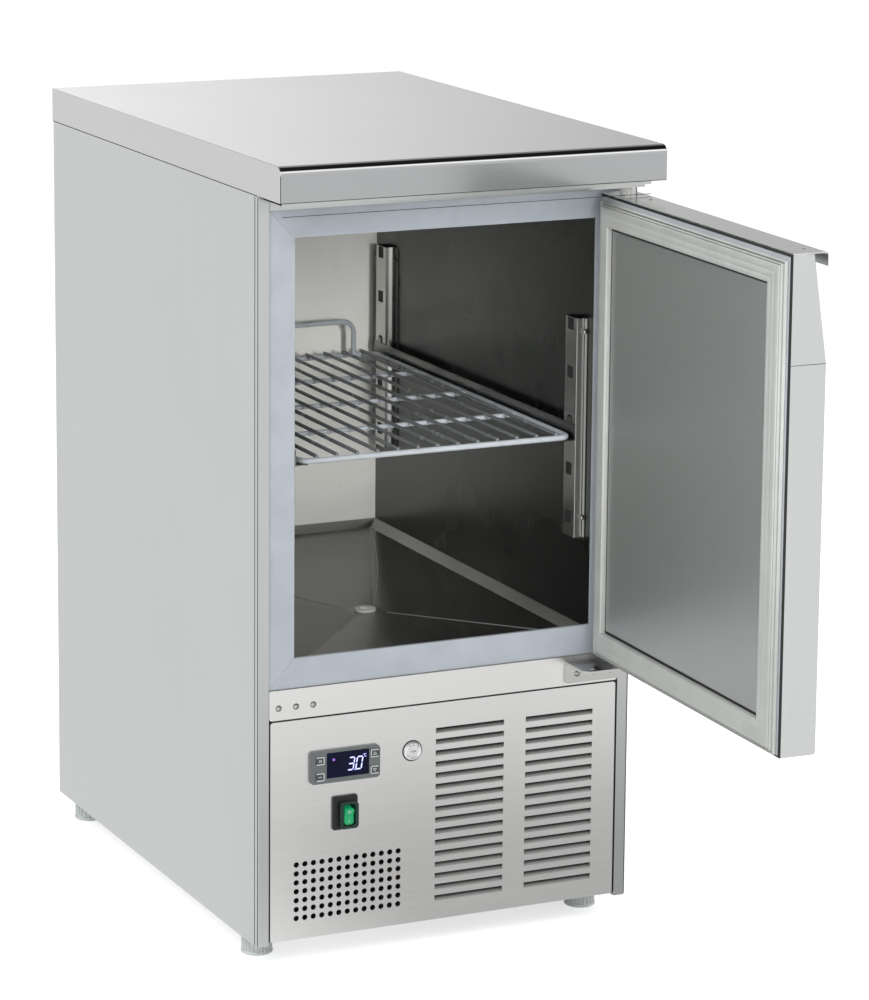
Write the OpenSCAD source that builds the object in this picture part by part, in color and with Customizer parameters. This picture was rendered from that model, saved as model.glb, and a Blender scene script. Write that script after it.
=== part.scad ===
// One-door refrigerated prep counter with a plain worktop: width on X, depth on Y, height on Z.
// The origin lies on the floor under the middle of the worktop, and the front faces -Y.

/* [Worktop] */
// Width of the worktop
top_w = 435; // [425:1:450]
// Depth of the worktop
top_d = 660; // [640:1:700]
// Height of the worktop's upper face above the floor
top_z = 855; // [845:1:900]
// Height of the worktop's edge
top_t = 37; // [30:1:45]
// Radius of the worktop's rounded front edge
nose_r = 9; // [4:0.5:12]
// How far the worktop stands out in front of the cabinet
top_overhang = 62; // [50:1:75]

/* [Cabinet] */
// Thickness of the casing sheet
sheet = 1; // [0.8:0.1:1.5]
// Width of the folded flange at the front of each side panel
flange_w = 13.5; // [10:0.5:18]
// Visible height of the feet under the cabinet
foot_h = 25; // [20:1:35]
// Height of the removable service panel
panel_h = 238; // [236:1:250]
// Height of the rail between the service panel and the door opening
transom_h = 32; // [30:1:40]
// Distance of each foot from the cabinet's side
foot_inset_x = 24.5; // [22:0.5:40]
// Distance of the front feet from the cabinet's front
foot_inset_front = 58; // [45:1:80]
// Distance of the rear feet from the cabinet's back
foot_inset_rear = 34; // [30:1:80]
// Diameter of a foot's ribbed base
foot_d = 34; // [28:1:40]

/* [Cold chamber] */
// Thickness of the insulated side walls
side_wall_t = 44.5; // [42:0.5:50]
// Sideways shift of the chamber from the cabinet's middle
cav_shift = -2; // [-4:0.5:4]
// Thickness of the insulated back wall
back_wall_t = 39; // [36:0.5:50]
// Thickness of the insulated ceiling
ceiling_t = 42; // [38:0.5:50]
// Height of the chamber floor's rim above the rail under the opening
floor_rise = 27; // [25:1:35]
// Fall of the floor pan from its rim to the drain
pan_fall = 13; // [8:0.5:15]
// Width of the sloped cove round the floor pan
cove_w = 12; // [8:1:20]
// Distance of the drain from the cabinet's front
drain_d = 214; // [180:1:280]
// Width of the plastic frame strips round the opening
strip_w = 29; // [24:0.5:32]

/* [Racking] */
// Width of an upright's slotted web
upright_web = 27; // [22:1:32]
// Distance of the slotted web from the chamber wall
upright_depth = 10; // [8:0.5:14]
// Height of an upright
upright_h = 238; // [220:1:260]
// Height of an upright's foot above the chamber floor's rim
upright_lift = 96; // [80:1:110]
// Distance between the slots of an upright
slot_pitch = 52.5; // [45:0.5:54]
// Distance of the front uprights from the cabinet's front
upright_front = 24; // [20:1:40]
// Height of the shelf frame's wire above the chamber floor's rim
shelf_lift = 207; // [190:1:215]
// Distance of the wire shelf's rear end from the back wall
shelf_rear_gap = 29; // [26:1:40]
// Diameter of the shelf's frame wire
frame_wire_d = 6; // [5:0.5:7]
// Diameter of the shelf's long wires
long_wire_d = 4; // [3:0.5:5]
// Number of long wires
long_wires = 13; // [9:2:15]
// Height of the rear stop above the shelf frame
stop_h = 40; // [25:1:60]

/* [Door] */
// Distance of the door's free end from the cabinet's side
door_side_gap = 13; // [12:0.5:16]
// Distance of the door's top from the worktop's underside
door_top_gap = 18; // [15:0.5:25]
// Thickness of the door's steel body
door_t = 39; // [36:0.5:42]
// Thickness of the steel body at its upper edge, under the lip
door_top_t = 23.5; // [23:0.5:28]
// Height of the slanted grip recess
grip_h = 109; // [80:1:130]
// Depth of the lip's turned-down edge
lip_drop = 14; // [8:1:20]
// Gap between the steel body's inner edge and the cabinet's front
door_gap = 8; // [8:0.5:10]
// Angle at which the door stands open
door_open = 88.6; // [0:0.1:100]
// Width of the border round the door's inner panel
border_w = 40; // [36:1:46]
// Distance of the hinge axis from the door's hinge end
axis_in = 19.5; // [18:0.5:21]
// Distance of the hinge axis from the steel body's inner edge
axis_back = 18; // [17:0.5:19]
// Radius of the lower hinge pin
pin_r = 4; // [3:0.5:4.5]
// Radial clearance of turning and sliding fits
fit_gap = 0.05; // [0.03:0.01:0.08]
// Gap between pieces that pass each other
pass_gap = 0.3; // [0.3:0.05:0.6]

/* [Service panel] */
// Number of louvres in each column
louvres = 16; // [10:1:16]
// Distance between louvres
louvre_pitch = 12.3; // [12:0.1:12.4]
// Height of a louvre slot
louvre_slot = 5.8; // [4:0.2:6.4]
// Columns of round air holes
hole_cols = 13; // [8:1:13]
// Rows of round air holes
hole_rows = 7; // [4:1:7]
// Distance between air holes
hole_pitch = 9.74; // [9.2:0.02:9.9]
// Diameter of an air hole
hole_d = 6; // [4:0.5:7]
// Width of the controller's bezel
ctl_w = 79; // [74:1:82]
// Height of the controller's bezel
ctl_h = 35; // [32:1:37]
// Width of the switch
switch_w = 29; // [26:1:32]
// Height of the switch
switch_h = 37; // [34:1:40]
// Diameter of the lock's collar
lock_d = 21; // [18:0.5:24]
// Tilt of the rocker from its middle
rocker_tilt = 8; // [5:0.5:9]

/* [Cooling unit] */
// Radius of the compressor's shell
comp_r = 74; // [60:1:78]
// Height of the compressor's shell
comp_h = 150; // [120:1:160]
// Height of the condenser
cond_h = 186; // [160:1:195]
// Number of fins on the condenser
fins = 22; // [12:1:24]
// Radius of the fan's blades
fan_r = 76; // [60:1:78]
// Radius of the fan motor's shaft
shaft_r = 3; // [2.5:0.5:4]
// Radius of the refrigerant pipes
pipe_r = 3.2; // [2.5:0.1:4]

/* [Hidden] */
$fn = 48;
eps = 0.01;
elbow_swell = 0.08;

// Cabinet planes
half_w = top_w / 2 - sheet;
front_y = -top_d / 2 + top_overhang;
back_y = top_d / 2 - sheet;
cab_z0 = foot_h;
cab_z1 = top_z - top_t;
flange_x = half_w - flange_w;
panel_z0 = cab_z0 + 3;
panel_z1 = panel_z0 + panel_h;
transom_z0 = panel_z1 + 2;
transom_z1 = transom_z0 + transom_h;
seam = 0.4;
corner_r = 2.5;
front_return = 12;
rear_flange = 12;
foot_flange = 14;
rail_y = front_y - 45;
inlet = [31.5 - half_w, cab_z0 + 45];
inlet_r = 9;

// Cold chamber planes
cav_w = 2 * (half_w - side_wall_t);
cav_x0 = cav_shift - cav_w / 2;
cav_x1 = cav_shift + cav_w / 2;
cav_back = back_y - back_wall_t;
cav_floor_z = transom_z1 + floor_rise;
ceil_z = cab_z1 - ceiling_t;
cav_h = ceil_z - cav_floor_z;
liner_y0 = front_y + 6;
liner_foot_z = cav_floor_z - pan_fall - 6;
open_z0 = cav_floor_z + 5;
open_z1 = ceil_z - 4;
strip_y = front_y + 2;
strip_t = 4;
strip_z0 = transom_z1 + seam;
strip_z1 = open_z1 + strip_w;
bay_top = transom_z0 + 12;
drain = [cav_shift + 4, front_y + drain_d];
drain_z = cav_floor_z - pan_fall;
drain_r = 9;
transom_flange = 13;
screw_x = [for (x = [50, 30.5, 11]) flange_x - x];
screw_z = transom_z0 + 13;
screw_r = 1.7;

// Racking
web_x = cav_w / 2 - upright_depth;
upright_z0 = cav_floor_z + upright_lift;
slot_z0 = upright_z0 + 21;
slot_w = 9;
slot_h = 12;
front_upright_y = front_y + upright_front + upright_web / 2;
rear_upright_y = cav_back - 21 - upright_web / 2;
shelf_z = cav_floor_z + shelf_lift;
wire_r = frame_wire_d / 2;
runner_t = 1.2;
runner_h = 16;
ledge_w = 15;
hook_z = slot_z0 + 2 * slot_pitch - slot_h / 2;
hook_h = 10;
ledge_z = shelf_z - wire_r - pass_gap;
runner_x = web_x - runner_t - seam / 2;
shelf_half = runner_x - 3;
shelf_y0 = front_upright_y - upright_web / 2 - 4;
shelf_l = cav_back - shelf_rear_gap - shelf_y0;

// Door, drawn shut and then turned open about its hinge axis
door_x1 = half_w - 8;
door_x0 = door_side_gap - half_w;
door_y1 = front_y - door_gap;
door_y0 = door_y1 - door_t;
door_z0 = transom_z1 + 0.5;
door_z1 = cab_z1 - door_top_gap;
door_h = door_z1 - door_z0;
axis = [door_x1 - axis_in, door_y1 - axis_back];
frame_t = 3.4;
seat_d = 1.4;
panel_in = 4;
top_pin_r = pin_r - 1;
bush_r = pin_r + 2;
top_bush_r = top_pin_r + 1.2;
bush_flange = 3;
rail_z0 = cab_z1 - 6;

// Service panel
panel_half = flange_x - 2;
// The panel's width beside the drawn panel's; what is spread over the width goes with it
across = panel_half / 201;
panel_t = 1.2;
panel_r = 3;
fold_d = transom_flange - 1;
blade_tilt = 46;
blade_d = 3.2;
blade_t = 0.9;
cheek_t = 0.8;
panel_y = front_y + 0.5;
louvre_w = 80 * across;
lou_x = across * [28.3, 134];
lou_z0 = panel_z0 + 23.5;
hole_x0 = -171.5 * across;
hole_z0 = panel_z0 + 23;
ctl = [-117.5 * across, panel_z0 + 184.5];
ctl_proud = 4;
switch = [-117 * across, panel_z0 + 132.5];
lock = [-39.2 * across, panel_z0 + 189.5];
lock_r = lock_d / 2;
plug_r = 6.4;
cam_y = front_y + transom_flange + pass_gap - panel_y;
bezel_t = 2.5;
hood_h = 5.5;
rocker_c = switch + [3, -2.5];
rocker_y = panel_y + 3;
rocker_pin_r = 1.5;
well = [6.4, 11.4];
key_size = [9.5, 8.4];

// Machine bay
bay_y0 = front_y + 14;
tray_z = cab_z0 + 3;
cond_w = 186 * across;
cond_x = 82 * across;
cond_y = front_y + 30;
cond_z = tray_z + 12;
cond_t = 44;
fan_z = cond_z + cond_h / 2;
cond_x0 = cond_x - cond_w / 2;
cond_rows = 6;
shroud_y = cond_y + cond_t;
blade_y = shroud_y + 22;
motor_y = blade_y + 11;
comp = [70 * across, back_y - 179];
drier = [comp[0] - 40, comp[1] - 110, bay_top - 40];
comp_z = tray_z + 18;
foot_xy = [[-1, -1], [1, -1], [-1, 1], [1, 1]];
stud_r = 5;

function foot_at(i) = [foot_xy[i][0] * (half_w - foot_inset_x),
    foot_xy[i][1] < 0 ? front_y + foot_inset_front : back_y - foot_inset_rear];

// Where a row of the condenser's tubes lies, in Y and Z
function cond_row(k, j) = [cond_y + 12 + k * 20, cond_z + (j + 0.5) * cond_h / cond_rows];

// A box between two corners
module block(a, b) { translate(a) cube(b - a); }

// A flat outline in X and Z, carried back from y by t
module face_y(y, t) { translate([0, y + t, 0]) rotate([90, 0, 0]) linear_extrude(t) children(); }

// A flat outline in Y and Z, carried from x0 to x1
module profile_x(x0, x1) {
    translate([x0, 0, 0]) rotate([90, 0, 90]) linear_extrude(x1 - x0) children();
}

// A rectangle with true round corners, from corner a to corner b
module rounded(a, b, r) {
    translate([a[0] + r, a[1]]) square([b[0] - a[0] - 2 * r, b[1] - a[1]]);
    translate([a[0], a[1] + r]) square([b[0] - a[0], b[1] - a[1] - 2 * r]);
    for (x = [a[0] + r, b[0] - r], y = [a[1] + r, b[1] - r]) translate([x, y]) circle(r);
}

// A round rod between two points
module rod(a, b, r) {
    d = b - a;
    len = norm(d);
    translate(a) rotate([0, acos(d[2] / len), atan2(d[1], d[0])]) cylinder(h = len, r = r);
}

// A pipe through a list of points, with round elbows
module pipe(points, r) {
    for (i = [0 : len(points) - 2]) rod(points[i], points[i + 1], r);
    for (i = [1 : len(points) - 2]) translate(points[i]) sphere(r + elbow_swell, $fn = 24);
}

// A rectangle drawn in by a; with b it is a ring whose opening is drawn in by b
module border(x0, x1, z0, z1, a, b = 0) {
    difference() {
        translate([x0 + a, z0 + a]) square([x1 - x0 - 2 * a, z1 - z0 - 2 * a]);
        if (b > a) translate([x0 + b, z0 + b]) square([x1 - x0 - 2 * b, z1 - z0 - 2 * b]);
    }
}

// The worktop's section in Y and Z, drawn in by t and cut off below at z0
module slab_section(t, z0) {
    y0 = -top_d / 2;
    translate([y0 + nose_r, z0]) square([top_d - nose_r - t, top_z - z0 - t]);
    translate([y0 + t, z0]) square([nose_r - t + eps, top_z - nose_r - z0]);
    translate([y0 + nose_r, top_z - nose_r]) circle(nose_r - t);
}

// The folded steel tray of the worktop, open below
module worktop() {
    color("gainsboro") difference() {
        profile_x(-top_w / 2, top_w / 2) slab_section(0, cab_z1);
        profile_x(-top_w / 2 + sheet, top_w / 2 - sheet) slab_section(sheet, cab_z1 - 1);
    }
}

// The board that fills the tray and rests on the cabinet
module worktop_core() {
    color("tan") profile_x(-top_w / 2 + sheet, top_w / 2 - sheet) slab_section(sheet, cab_z1);
}

// The folded rail under the worktop's front, with the face above the door opening
module top_rail() {
    x1 = half_w - 8;
    color("silver") {
        block([-x1, rail_y, rail_z0], [x1, front_y, rail_z0 + sheet]);
        block([-x1, rail_y, rail_z0], [x1, rail_y + sheet, cab_z1]);
        block([-flange_x + seam, front_y, strip_z1 + seam],
            [flange_x - seam, front_y + sheet, cab_z1]);
        block([-flange_x + seam, front_y - sheet, rail_z0],
            [flange_x - seam, front_y + sheet, rail_z0 + sheet]);
    }
}

// The side panel's plan as a filled bar with one round corner, drawn in by t
module side_outline(t) {
    y0 = front_y + corner_r;
    translate([half_w - corner_r, y0]) circle(corner_r - t);
    translate([flange_x + t, y0]) square([flange_w - 2 * t, back_y - y0 + t]);
    translate([flange_x + t, front_y + t]) square([flange_w - corner_r - t, corner_r]);
}

// A side panel with its folded front, rear and lower edges, drawn for the right side
module side_panel() {
    x1 = half_w;
    color("lightgray") {
        translate([0, 0, cab_z0]) linear_extrude(cab_z1 - cab_z0) {
            difference() {
                side_outline(0);
                side_outline(sheet);
                translate([flange_x - 1, front_y + front_return])
                    square([flange_w - sheet + 1, back_y - front_y]);
            }
            translate([x1 - rear_flange, back_y - 2 * sheet]) square([rear_flange - sheet / 2, sheet]);
        }
        block([x1 - foot_flange, front_y + 14, cab_z0 + eps],
            [x1 - sheet / 2, back_y - 3, cab_z0 + sheet]);
    }
}

module side_panel_left() { mirror([1, 0, 0]) side_panel(); }
module side_panel_right() { side_panel(); }

// The upper rear cover, fixed with round-headed rivets
module rear_panel() {
    x1 = half_w - 1.5;
    z0 = bay_top + 1;
    color("silver") {
        block([-x1, back_y - sheet, z0], [x1, back_y, cab_z1]);
        for (x = [-x1 + 7, x1 - 7], z = [z0 + 30, (z0 + cab_z1) / 2, cab_z1 - 30])
            translate([x, back_y - sheet / 2, z]) rotate([-90, 0, 0])
                cylinder(h = sheet / 2 + 0.8, r = 3);
    }
}

// The lower rear cover with rows of pressed air slots
module rear_grille() {
    x1 = half_w - 1.5;
    slot_l = 80;
    color("silver") face_y(back_y - sheet, sheet) difference() {
        translate([-x1, cab_z0 + 1]) square([2 * x1, bay_top - cab_z0 - seam]);
        for (i = [0 : 11], x = [-150, -50, 50])
            translate([x, cab_z0 + 40 + i * 15]) square([slot_l, 6]);
        translate(inlet) circle(inlet_r);
    }
}

module base_tray() {
    color("silver") difference() {
        union() {
            block([-half_w + sheet, front_y + 14, tray_z - 2 * sheet],
                [half_w - sheet, back_y - 3, tray_z - sheet]);
            for (i = [0 : 3]) translate([foot_at(i)[0], foot_at(i)[1], tray_z - sheet - eps])
                cylinder(h = 12, r = 9);
            for (y = [front_y + 14, back_y - 3 - sheet])
                block([-half_w + 15, y, tray_z - 2 * sheet], [half_w - 15, y + sheet, tray_z + 10]);
        }
        for (i = [0 : 3]) translate([foot_at(i)[0], foot_at(i)[1], tray_z - 5])
            cylinder(h = 20, r = stud_r + fit_gap);
    }
}

// The pressed sheet that closes the foamed body above the machine bay
module chamber_bottom() {
    color("silver") difference() {
        block([-half_w + sheet, front_y + 13, bay_top],
            [half_w - sheet, back_y - 3, bay_top + sheet]);
        translate([drain[0], drain[1], bay_top - 1]) cylinder(h = 4, r = 11);
    }
}

// The rail under the opening, with three spare hinge holes on the left
module transom() {
    x1 = flange_x - seam;
    color("gainsboro") {
        face_y(front_y, sheet) difference() {
            union() {
                rounded([-x1, transom_z0], [x1, transom_z1], panel_r);
                translate([-x1, transom_z0 + panel_r]) square([2 * x1, transom_h - panel_r]);
            }
            for (x = screw_x, s = [-1, 1]) translate([s * x, screw_z]) circle(screw_r + 0.1);
        }
        block([-x1 + panel_r, front_y, transom_z0],
            [x1 - panel_r, front_y + transom_flange, transom_z0 + sheet]);
    }
}

// Four mitred plastic strips that carry the cold wall's edge to the steel front
module opening_strips() {
    x0 = -flange_x + seam;
    x1 = flange_x - seam;
    o = [[x0, strip_z0], [x1, strip_z0], [x1, strip_z1], [x0, strip_z1]];
    q = [[cav_x0, open_z0], [cav_x1, open_z0], [cav_x1, open_z1], [cav_x0, open_z1]];
    color("lightsteelblue") {
        for (i = [0 : 3]) {
            j = (i + 1) % 4;
            d = i % 2 == 0 ? [0.1, 0] : [0, 0.1];
            s = i < 2 ? 1 : -1;
            face_y(strip_y, strip_t) polygon([o[i] + s * d, o[j] - s * d, q[j] - s * d,
                q[i] + s * d]);
        }
    }
}

// The chamber's folded walls and ceiling
module chamber_liner() {
    color("darkgray") difference() {
        block([cav_x0 - sheet, liner_y0, liner_foot_z], [cav_x1 + sheet, cav_back + sheet,
            ceil_z + sheet]);
        block([cav_x0, liner_y0 - 1, liner_foot_z - 1], [cav_x1, cav_back, ceil_z]);
    }
}

// The floor pan: a sloped cove at the walls, then four facets that fall to the drain
module floor_pan() {
    t = sheet;
    y0 = liner_y0 + 1;
    a = [[cav_x0, y0], [cav_x1, y0], [cav_x1, cav_back], [cav_x0, cav_back]];
    b = [[cav_x0 + cove_w, y0 + cove_w], [cav_x1 - cove_w, y0 + cove_w],
        [cav_x1 - cove_w, cav_back - cove_w], [cav_x0 + cove_w, cav_back - cove_w]];
    r = drain_r + 9;
    c = [for (s = [[-1, -1], [1, -1], [1, 1], [-1, 1]]) drain + r * s];
    za = cav_floor_z;
    zb = cav_floor_z - 8;
    points = [for (k = [0, 1], ring = [0 : 2], i = [0 : 3])
        concat([a, b, c][ring][i], [za, zb, drain_z][ring] - k * t)];
    ring_faces = [for (ring = [0, 1], i = [0 : 3]) let (j = (i + 1) % 4, u = 4 * ring)
        [u + j, u + i, u + 4 + i, u + 4 + j]];
    under_faces = [for (f = ring_faces) [for (i = [3 : -1 : 0]) f[i] + 12]];
    rim_faces = [for (i = [0 : 3]) let (j = (i + 1) % 4) [i, j, j + 12, i + 12]];
    color("gray") difference() {
        polyhedron(points = points, faces = [for (f = concat(ring_faces, under_faces, rim_faces,
            [[11, 10, 9, 8], [20, 21, 22, 23]])) each [[f[0], f[1], f[2]], [f[0], f[2], f[3]]]]);
        translate([drain[0], drain[1], drain_z - 3]) cylinder(h = 6, r = drain_r);
    }
}

// The foamed insulation between the chamber and the casing
module foam_body() {
    color("khaki") difference() {
        block([-half_w + sheet, front_y + 13, bay_top + sheet],
            [half_w - sheet, back_y - 2 * sheet, cab_z1]);
        block([cav_x0 - sheet, front_y, liner_foot_z], [cav_x1 + sheet, cav_back + sheet,
            ceil_z + sheet]);
        block([cav_x0 + 10, cav_back + sheet - eps, liner_foot_z + 30],
            [cav_x1 - 10, cav_back + sheet + 12, ceil_z - 30]);
        translate([drain[0], drain[1], bay_top - 1]) cylinder(h = 60, r = 11);
    }
}

// The cooling coil pressed against the back wall, inside the foam
module evaporator_coil() {
    rows = 9;
    pitch = (cav_h - 120) / rows;
    x = cav_w / 2 - 30;
    y = cav_back + sheet + 4.1;
    pts = [for (i = [0 : rows], e = [0, 1])
        [cav_shift + ((i + e) % 2 == 0 ? -x : x), y, liner_foot_z + 55 + i * pitch]];
    color("chocolate") pipe(pts, 4);
}

module drain_bush() {
    color("whitesmoke") difference() {
        union() {
            translate([drain[0], drain[1], drain_z]) cylinder(h = 2.4, r = drain_r + 3);
            translate([drain[0], drain[1], bay_top - 6])
                cylinder(h = drain_z - bay_top + 7, r = drain_r - 0.5);
        }
        translate([drain[0], drain[1], bay_top - 10]) cylinder(h = 100, r = 6);
    }
}

// The hose from the drain to the evaporation tray
module drain_hose() {
    top = [drain[0], drain[1], bay_top - 6];
    bend = [drain[0], drain[1], bay_top - 90];
    mouth = [-70, drain[1], tray_z + 55];
    beyond = mouth + 0.05 * (mouth - bend);
    color("gray") difference() {
        pipe([top, bend, mouth], 8);
        pipe([top + [0, 0, 1], bend, beyond], 6.2);
    }
}

// The open tray in which the melt water evaporates
module drip_tray() {
    a = [-half_w + 20, front_y + 120, tray_z - sheet];
    b = [-45, back_y - 90, tray_z + 50];
    color("dimgray") difference() {
        block(a, b);
        block(a + [2, 2, 2], b + [-2, -2, 1]);
    }
}

// One slotted upright on the right wall; the lip with its screw holes lies towards the door
module upright(y, lip) {
    w = upright_web / 2;
    difference() {
        translate([0, 0, upright_z0]) linear_extrude(upright_h) {
            translate([web_x, y - w]) square([sheet, upright_web]);
            for (s = [-1, 1]) translate([web_x, y + s * (w - sheet / 2) - sheet / 2])
                square([upright_depth, sheet]);
            for (s = [-1, 1]) translate([web_x + upright_depth - sheet,
                s > 0 ? y + w - eps : y - w - lip])
                square([sheet, s > 0 ? 5 : lip + eps]);
        }
        for (i = [0 : floor((upright_h - 30) / slot_pitch)])
            block([web_x - 1, y - slot_w / 2, slot_z0 + i * slot_pitch - slot_h / 2],
                [web_x + 2, y + slot_w / 2, slot_z0 + i * slot_pitch + slot_h / 2]);
        for (z = upright_screw_z) translate([web_x, y - w - lip / 2, z])
            rotate([0, 90, 0]) cylinder(h = upright_depth + 2, r = 2);
    }
}
upright_screw_z = [upright_z0 + 22, upright_z0 + upright_h - 14];
front_lip = 6;
rear_lip = 14;

// Copies the children to the chamber's left wall as well as its right wall
module both_walls() {
    for (s = [0, 1]) translate([cav_shift, 0, 0]) mirror([s, 0, 0]) children();
}

module racking_uprights() {
    color("silver") both_walls() {
        upright(front_upright_y, front_lip);
        upright(rear_upright_y, rear_lip);
    }
}

module upright_screws() {
    x = cav_w / 2 - sheet - 1.8;
    color("gainsboro") both_walls() for (p = [[front_upright_y, front_lip],
        [rear_upright_y, rear_lip]], z = upright_screw_z)
        translate([x, p[0] - upright_web / 2 - p[1] / 2, z]) rotate([0, 90, 0]) {
            cylinder(h = 1.8, r = 3);
            cylinder(h = 2.8, r = 1.8);
        }
}

// An angle that hangs in the uprights' slots and carries one edge of the shelf
module runner() {
    y0 = front_upright_y - upright_web / 2;
    y1 = rear_upright_y + upright_web / 2;
    x1 = runner_x + runner_t;
    hook_w = slot_w / 2 - 1;
    color("silver") {
        block([runner_x, y0, ledge_z - runner_t], [x1, y1, ledge_z + runner_h]);
        block([x1 - ledge_w, y0, ledge_z - runner_t], [x1, y1, ledge_z]);
        for (y = [front_upright_y, rear_upright_y]) {
            block([runner_x, y - hook_w, ledge_z], [x1, y + hook_w, hook_z + hook_h]);
            block([runner_x, y - hook_w, hook_z], [web_x + sheet + 1.5, y + hook_w, hook_z + hook_h]);
            block([web_x + sheet + seam, y - hook_w, hook_z - 4],
                [web_x + sheet + 1.5, y + hook_w, hook_z + hook_h]);
        }
    }
}

module runner_left() { translate([cav_shift, 0, 0]) mirror([1, 0, 0]) runner(); }
module runner_right() { translate([cav_shift, 0, 0]) runner(); }

// The coated wire shelf with its rear stop
module wire_shelf() {
    x = shelf_half - wire_r;
    y0 = shelf_y0 + wire_r;
    y1 = shelf_y0 + shelf_l - wire_r;
    r = 12;
    lr = long_wire_d / 2;
    over = wire_r + lr - 0.6;
    stop_x = x - 26;
    stop_r = 14;
    wire_x0 = -x + 16.5;
    pitch = -2 * wire_x0 / (long_wires - 1);
    color("lightslategray") translate([cav_shift, 0, shelf_z]) {
        for (s = [-1, 1]) {
            rod([s * x, y0 + r, 0], [s * x, y1 - r, 0], wire_r);
            translate([s * (x - r), y0 + r, 0]) rotate([0, 0, s > 0 ? -90 : 180])
                rotate_extrude(angle = 90) translate([r, 0]) circle(wire_r);
            translate([s * (x - r), y1 - r, 0]) rotate([0, 0, s > 0 ? 0 : 90])
                rotate_extrude(angle = 90) translate([r, 0]) circle(wire_r);
            rod([s * stop_x, y1, 0], [s * stop_x, y1, stop_h - stop_r], wire_r);
            translate([s * (stop_x - stop_r), y1, stop_h - stop_r])
                rotate([90, 0, 0]) rotate([0, 0, s > 0 ? 0 : 90])
                rotate_extrude(angle = 90) translate([stop_r, 0]) circle(wire_r);
        }
        for (y = [y0, y1]) rod([-x + r, y, 0], [x - r, y, 0], wire_r);
        rod([-stop_x + stop_r, y1, stop_h], [stop_x - stop_r, y1, stop_h], wire_r);
        for (k = [1 : 3]) {
            y = y0 + k * (y1 - y0) / 4;
            rod([-x, y, 0], [x, y, 0], wire_r - 0.5);
        }
        for (i = [0 : long_wires - 1])
            rod([wire_x0 + i * pitch, y0 - 1, over], [wire_x0 + i * pitch, y1 + 1, over], lr);
    }
}

// One pressed louvre, rising inwards from its slot's lower edge between two cheeks
module louvre() {
    half = louvre_w / 2;
    rise = blade_d * tan(blade_tilt);
    difference() {
        profile_x(-half - cheek_t, half + cheek_t) polygon([[-0.5, -blade_t], [0, -blade_t],
            [blade_d, rise - blade_t], [blade_d, rise], [0, louvre_slot + 0.6],
            [-0.5, louvre_slot + 0.6]]);
        profile_x(-half - 0.15, half + 0.15) polygon([[-1, 0], [-0.5, 0],
            [blade_d + 1, rise + tan(blade_tilt)], [blade_d + 1, 2 * louvre_slot],
            [-1, 2 * louvre_slot]]);
    }
}

// The removable front of the machine bay, with louvres and air holes
module service_panel() {
    r = panel_r;
    color("lightgray") {
        face_y(panel_y, panel_t) difference() {
            rounded([-panel_half, panel_z0], [panel_half, panel_z1], r);
            for (x = lou_x, i = [0 : louvres - 1])
                translate([x - louvre_w / 2, lou_z0 + i * louvre_pitch - louvre_slot / 2])
                    square([louvre_w, louvre_slot]);
            for (i = [0 : hole_cols - 1], j = [0 : hole_rows - 1])
                translate([hole_x0 + i * hole_pitch, hole_z0 + j * hole_pitch]) circle(hole_d / 2);
            translate(ctl - [ctl_w / 2 - 4, ctl_h / 2 - 3]) square([ctl_w - 8, ctl_h - 6]);
            translate(rocker_c - well - [1.8, 1.8]) square(2 * (well + [1.8, 1.8]));
            translate(lock) circle(lock_r - 2);
        }
        for (x = lou_x, i = [0 : louvres - 1])
            translate([x, panel_y + panel_t, lou_z0 + i * louvre_pitch - louvre_slot / 2])
                louvre();
        for (z = [panel_z0, panel_z1 - sheet])
            block([-panel_half + r, panel_y, z], [panel_half - r, panel_y + fold_d, z + sheet]);
        for (s = [-1, 1]) translate([s * (panel_half - sheet / 2), 0, 0])
            block([-sheet / 2, panel_y, panel_z0 + r], [sheet / 2, panel_y + fold_d, panel_z1 - r]);
    }
}

// The digital controller: bezel with rounded ends, and the body behind the panel
module controller_housing() {
    a = ctl - [ctl_w / 2, ctl_h / 2];
    b = ctl + [ctl_w / 2, ctl_h / 2];
    color("dimgray") difference() {
        union() {
            face_y(panel_y - ctl_proud, ctl_proud - eps) rounded(a, b, 4);
            block([a[0] + 5, panel_y - 1, a[1] + 4], [b[0] - 5, panel_y + 40, b[1] - 4]);
        }
        face_y(panel_y - ctl_proud - 1, 2.6) rounded(ctl_win[0], ctl_win[1], 1);
        for (k = key_at) face_y(panel_y - ctl_proud - 1, 5)
            translate(k - key_size / 2 - [pass_gap, pass_gap])
                square(key_size + 2 * [pass_gap, pass_gap]);
    }
}
ctl_win = [ctl + [-ctl_w / 2 + 18, -ctl_h / 2 + 5], ctl + [ctl_w / 2 - 12.5, ctl_h / 2 - 2.5]];
key_at = [ctl + [-29, 7.5], ctl + [-29, -10], ctl + [33.2, 9], ctl + [33.2, -9]];

module controller_window() {
    color("black") face_y(panel_y - ctl_proud + 0.3, 1.3)
        rounded(ctl_win[0] + [0.1, 0.1], ctl_win[1] - [0.1, 0.1], 1);
}

// One key of the controller, which is pressed into the bezel
module key(i) {
    color("gray") face_y(panel_y - ctl_proud - 0.6, 3)
        translate(key_at[i] - key_size / 2) square(key_size);
}
module key_defrost() { key(0); }
module key_set() { key(1); }
module key_up() { key(2); }
module key_down() { key(3); }

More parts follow.
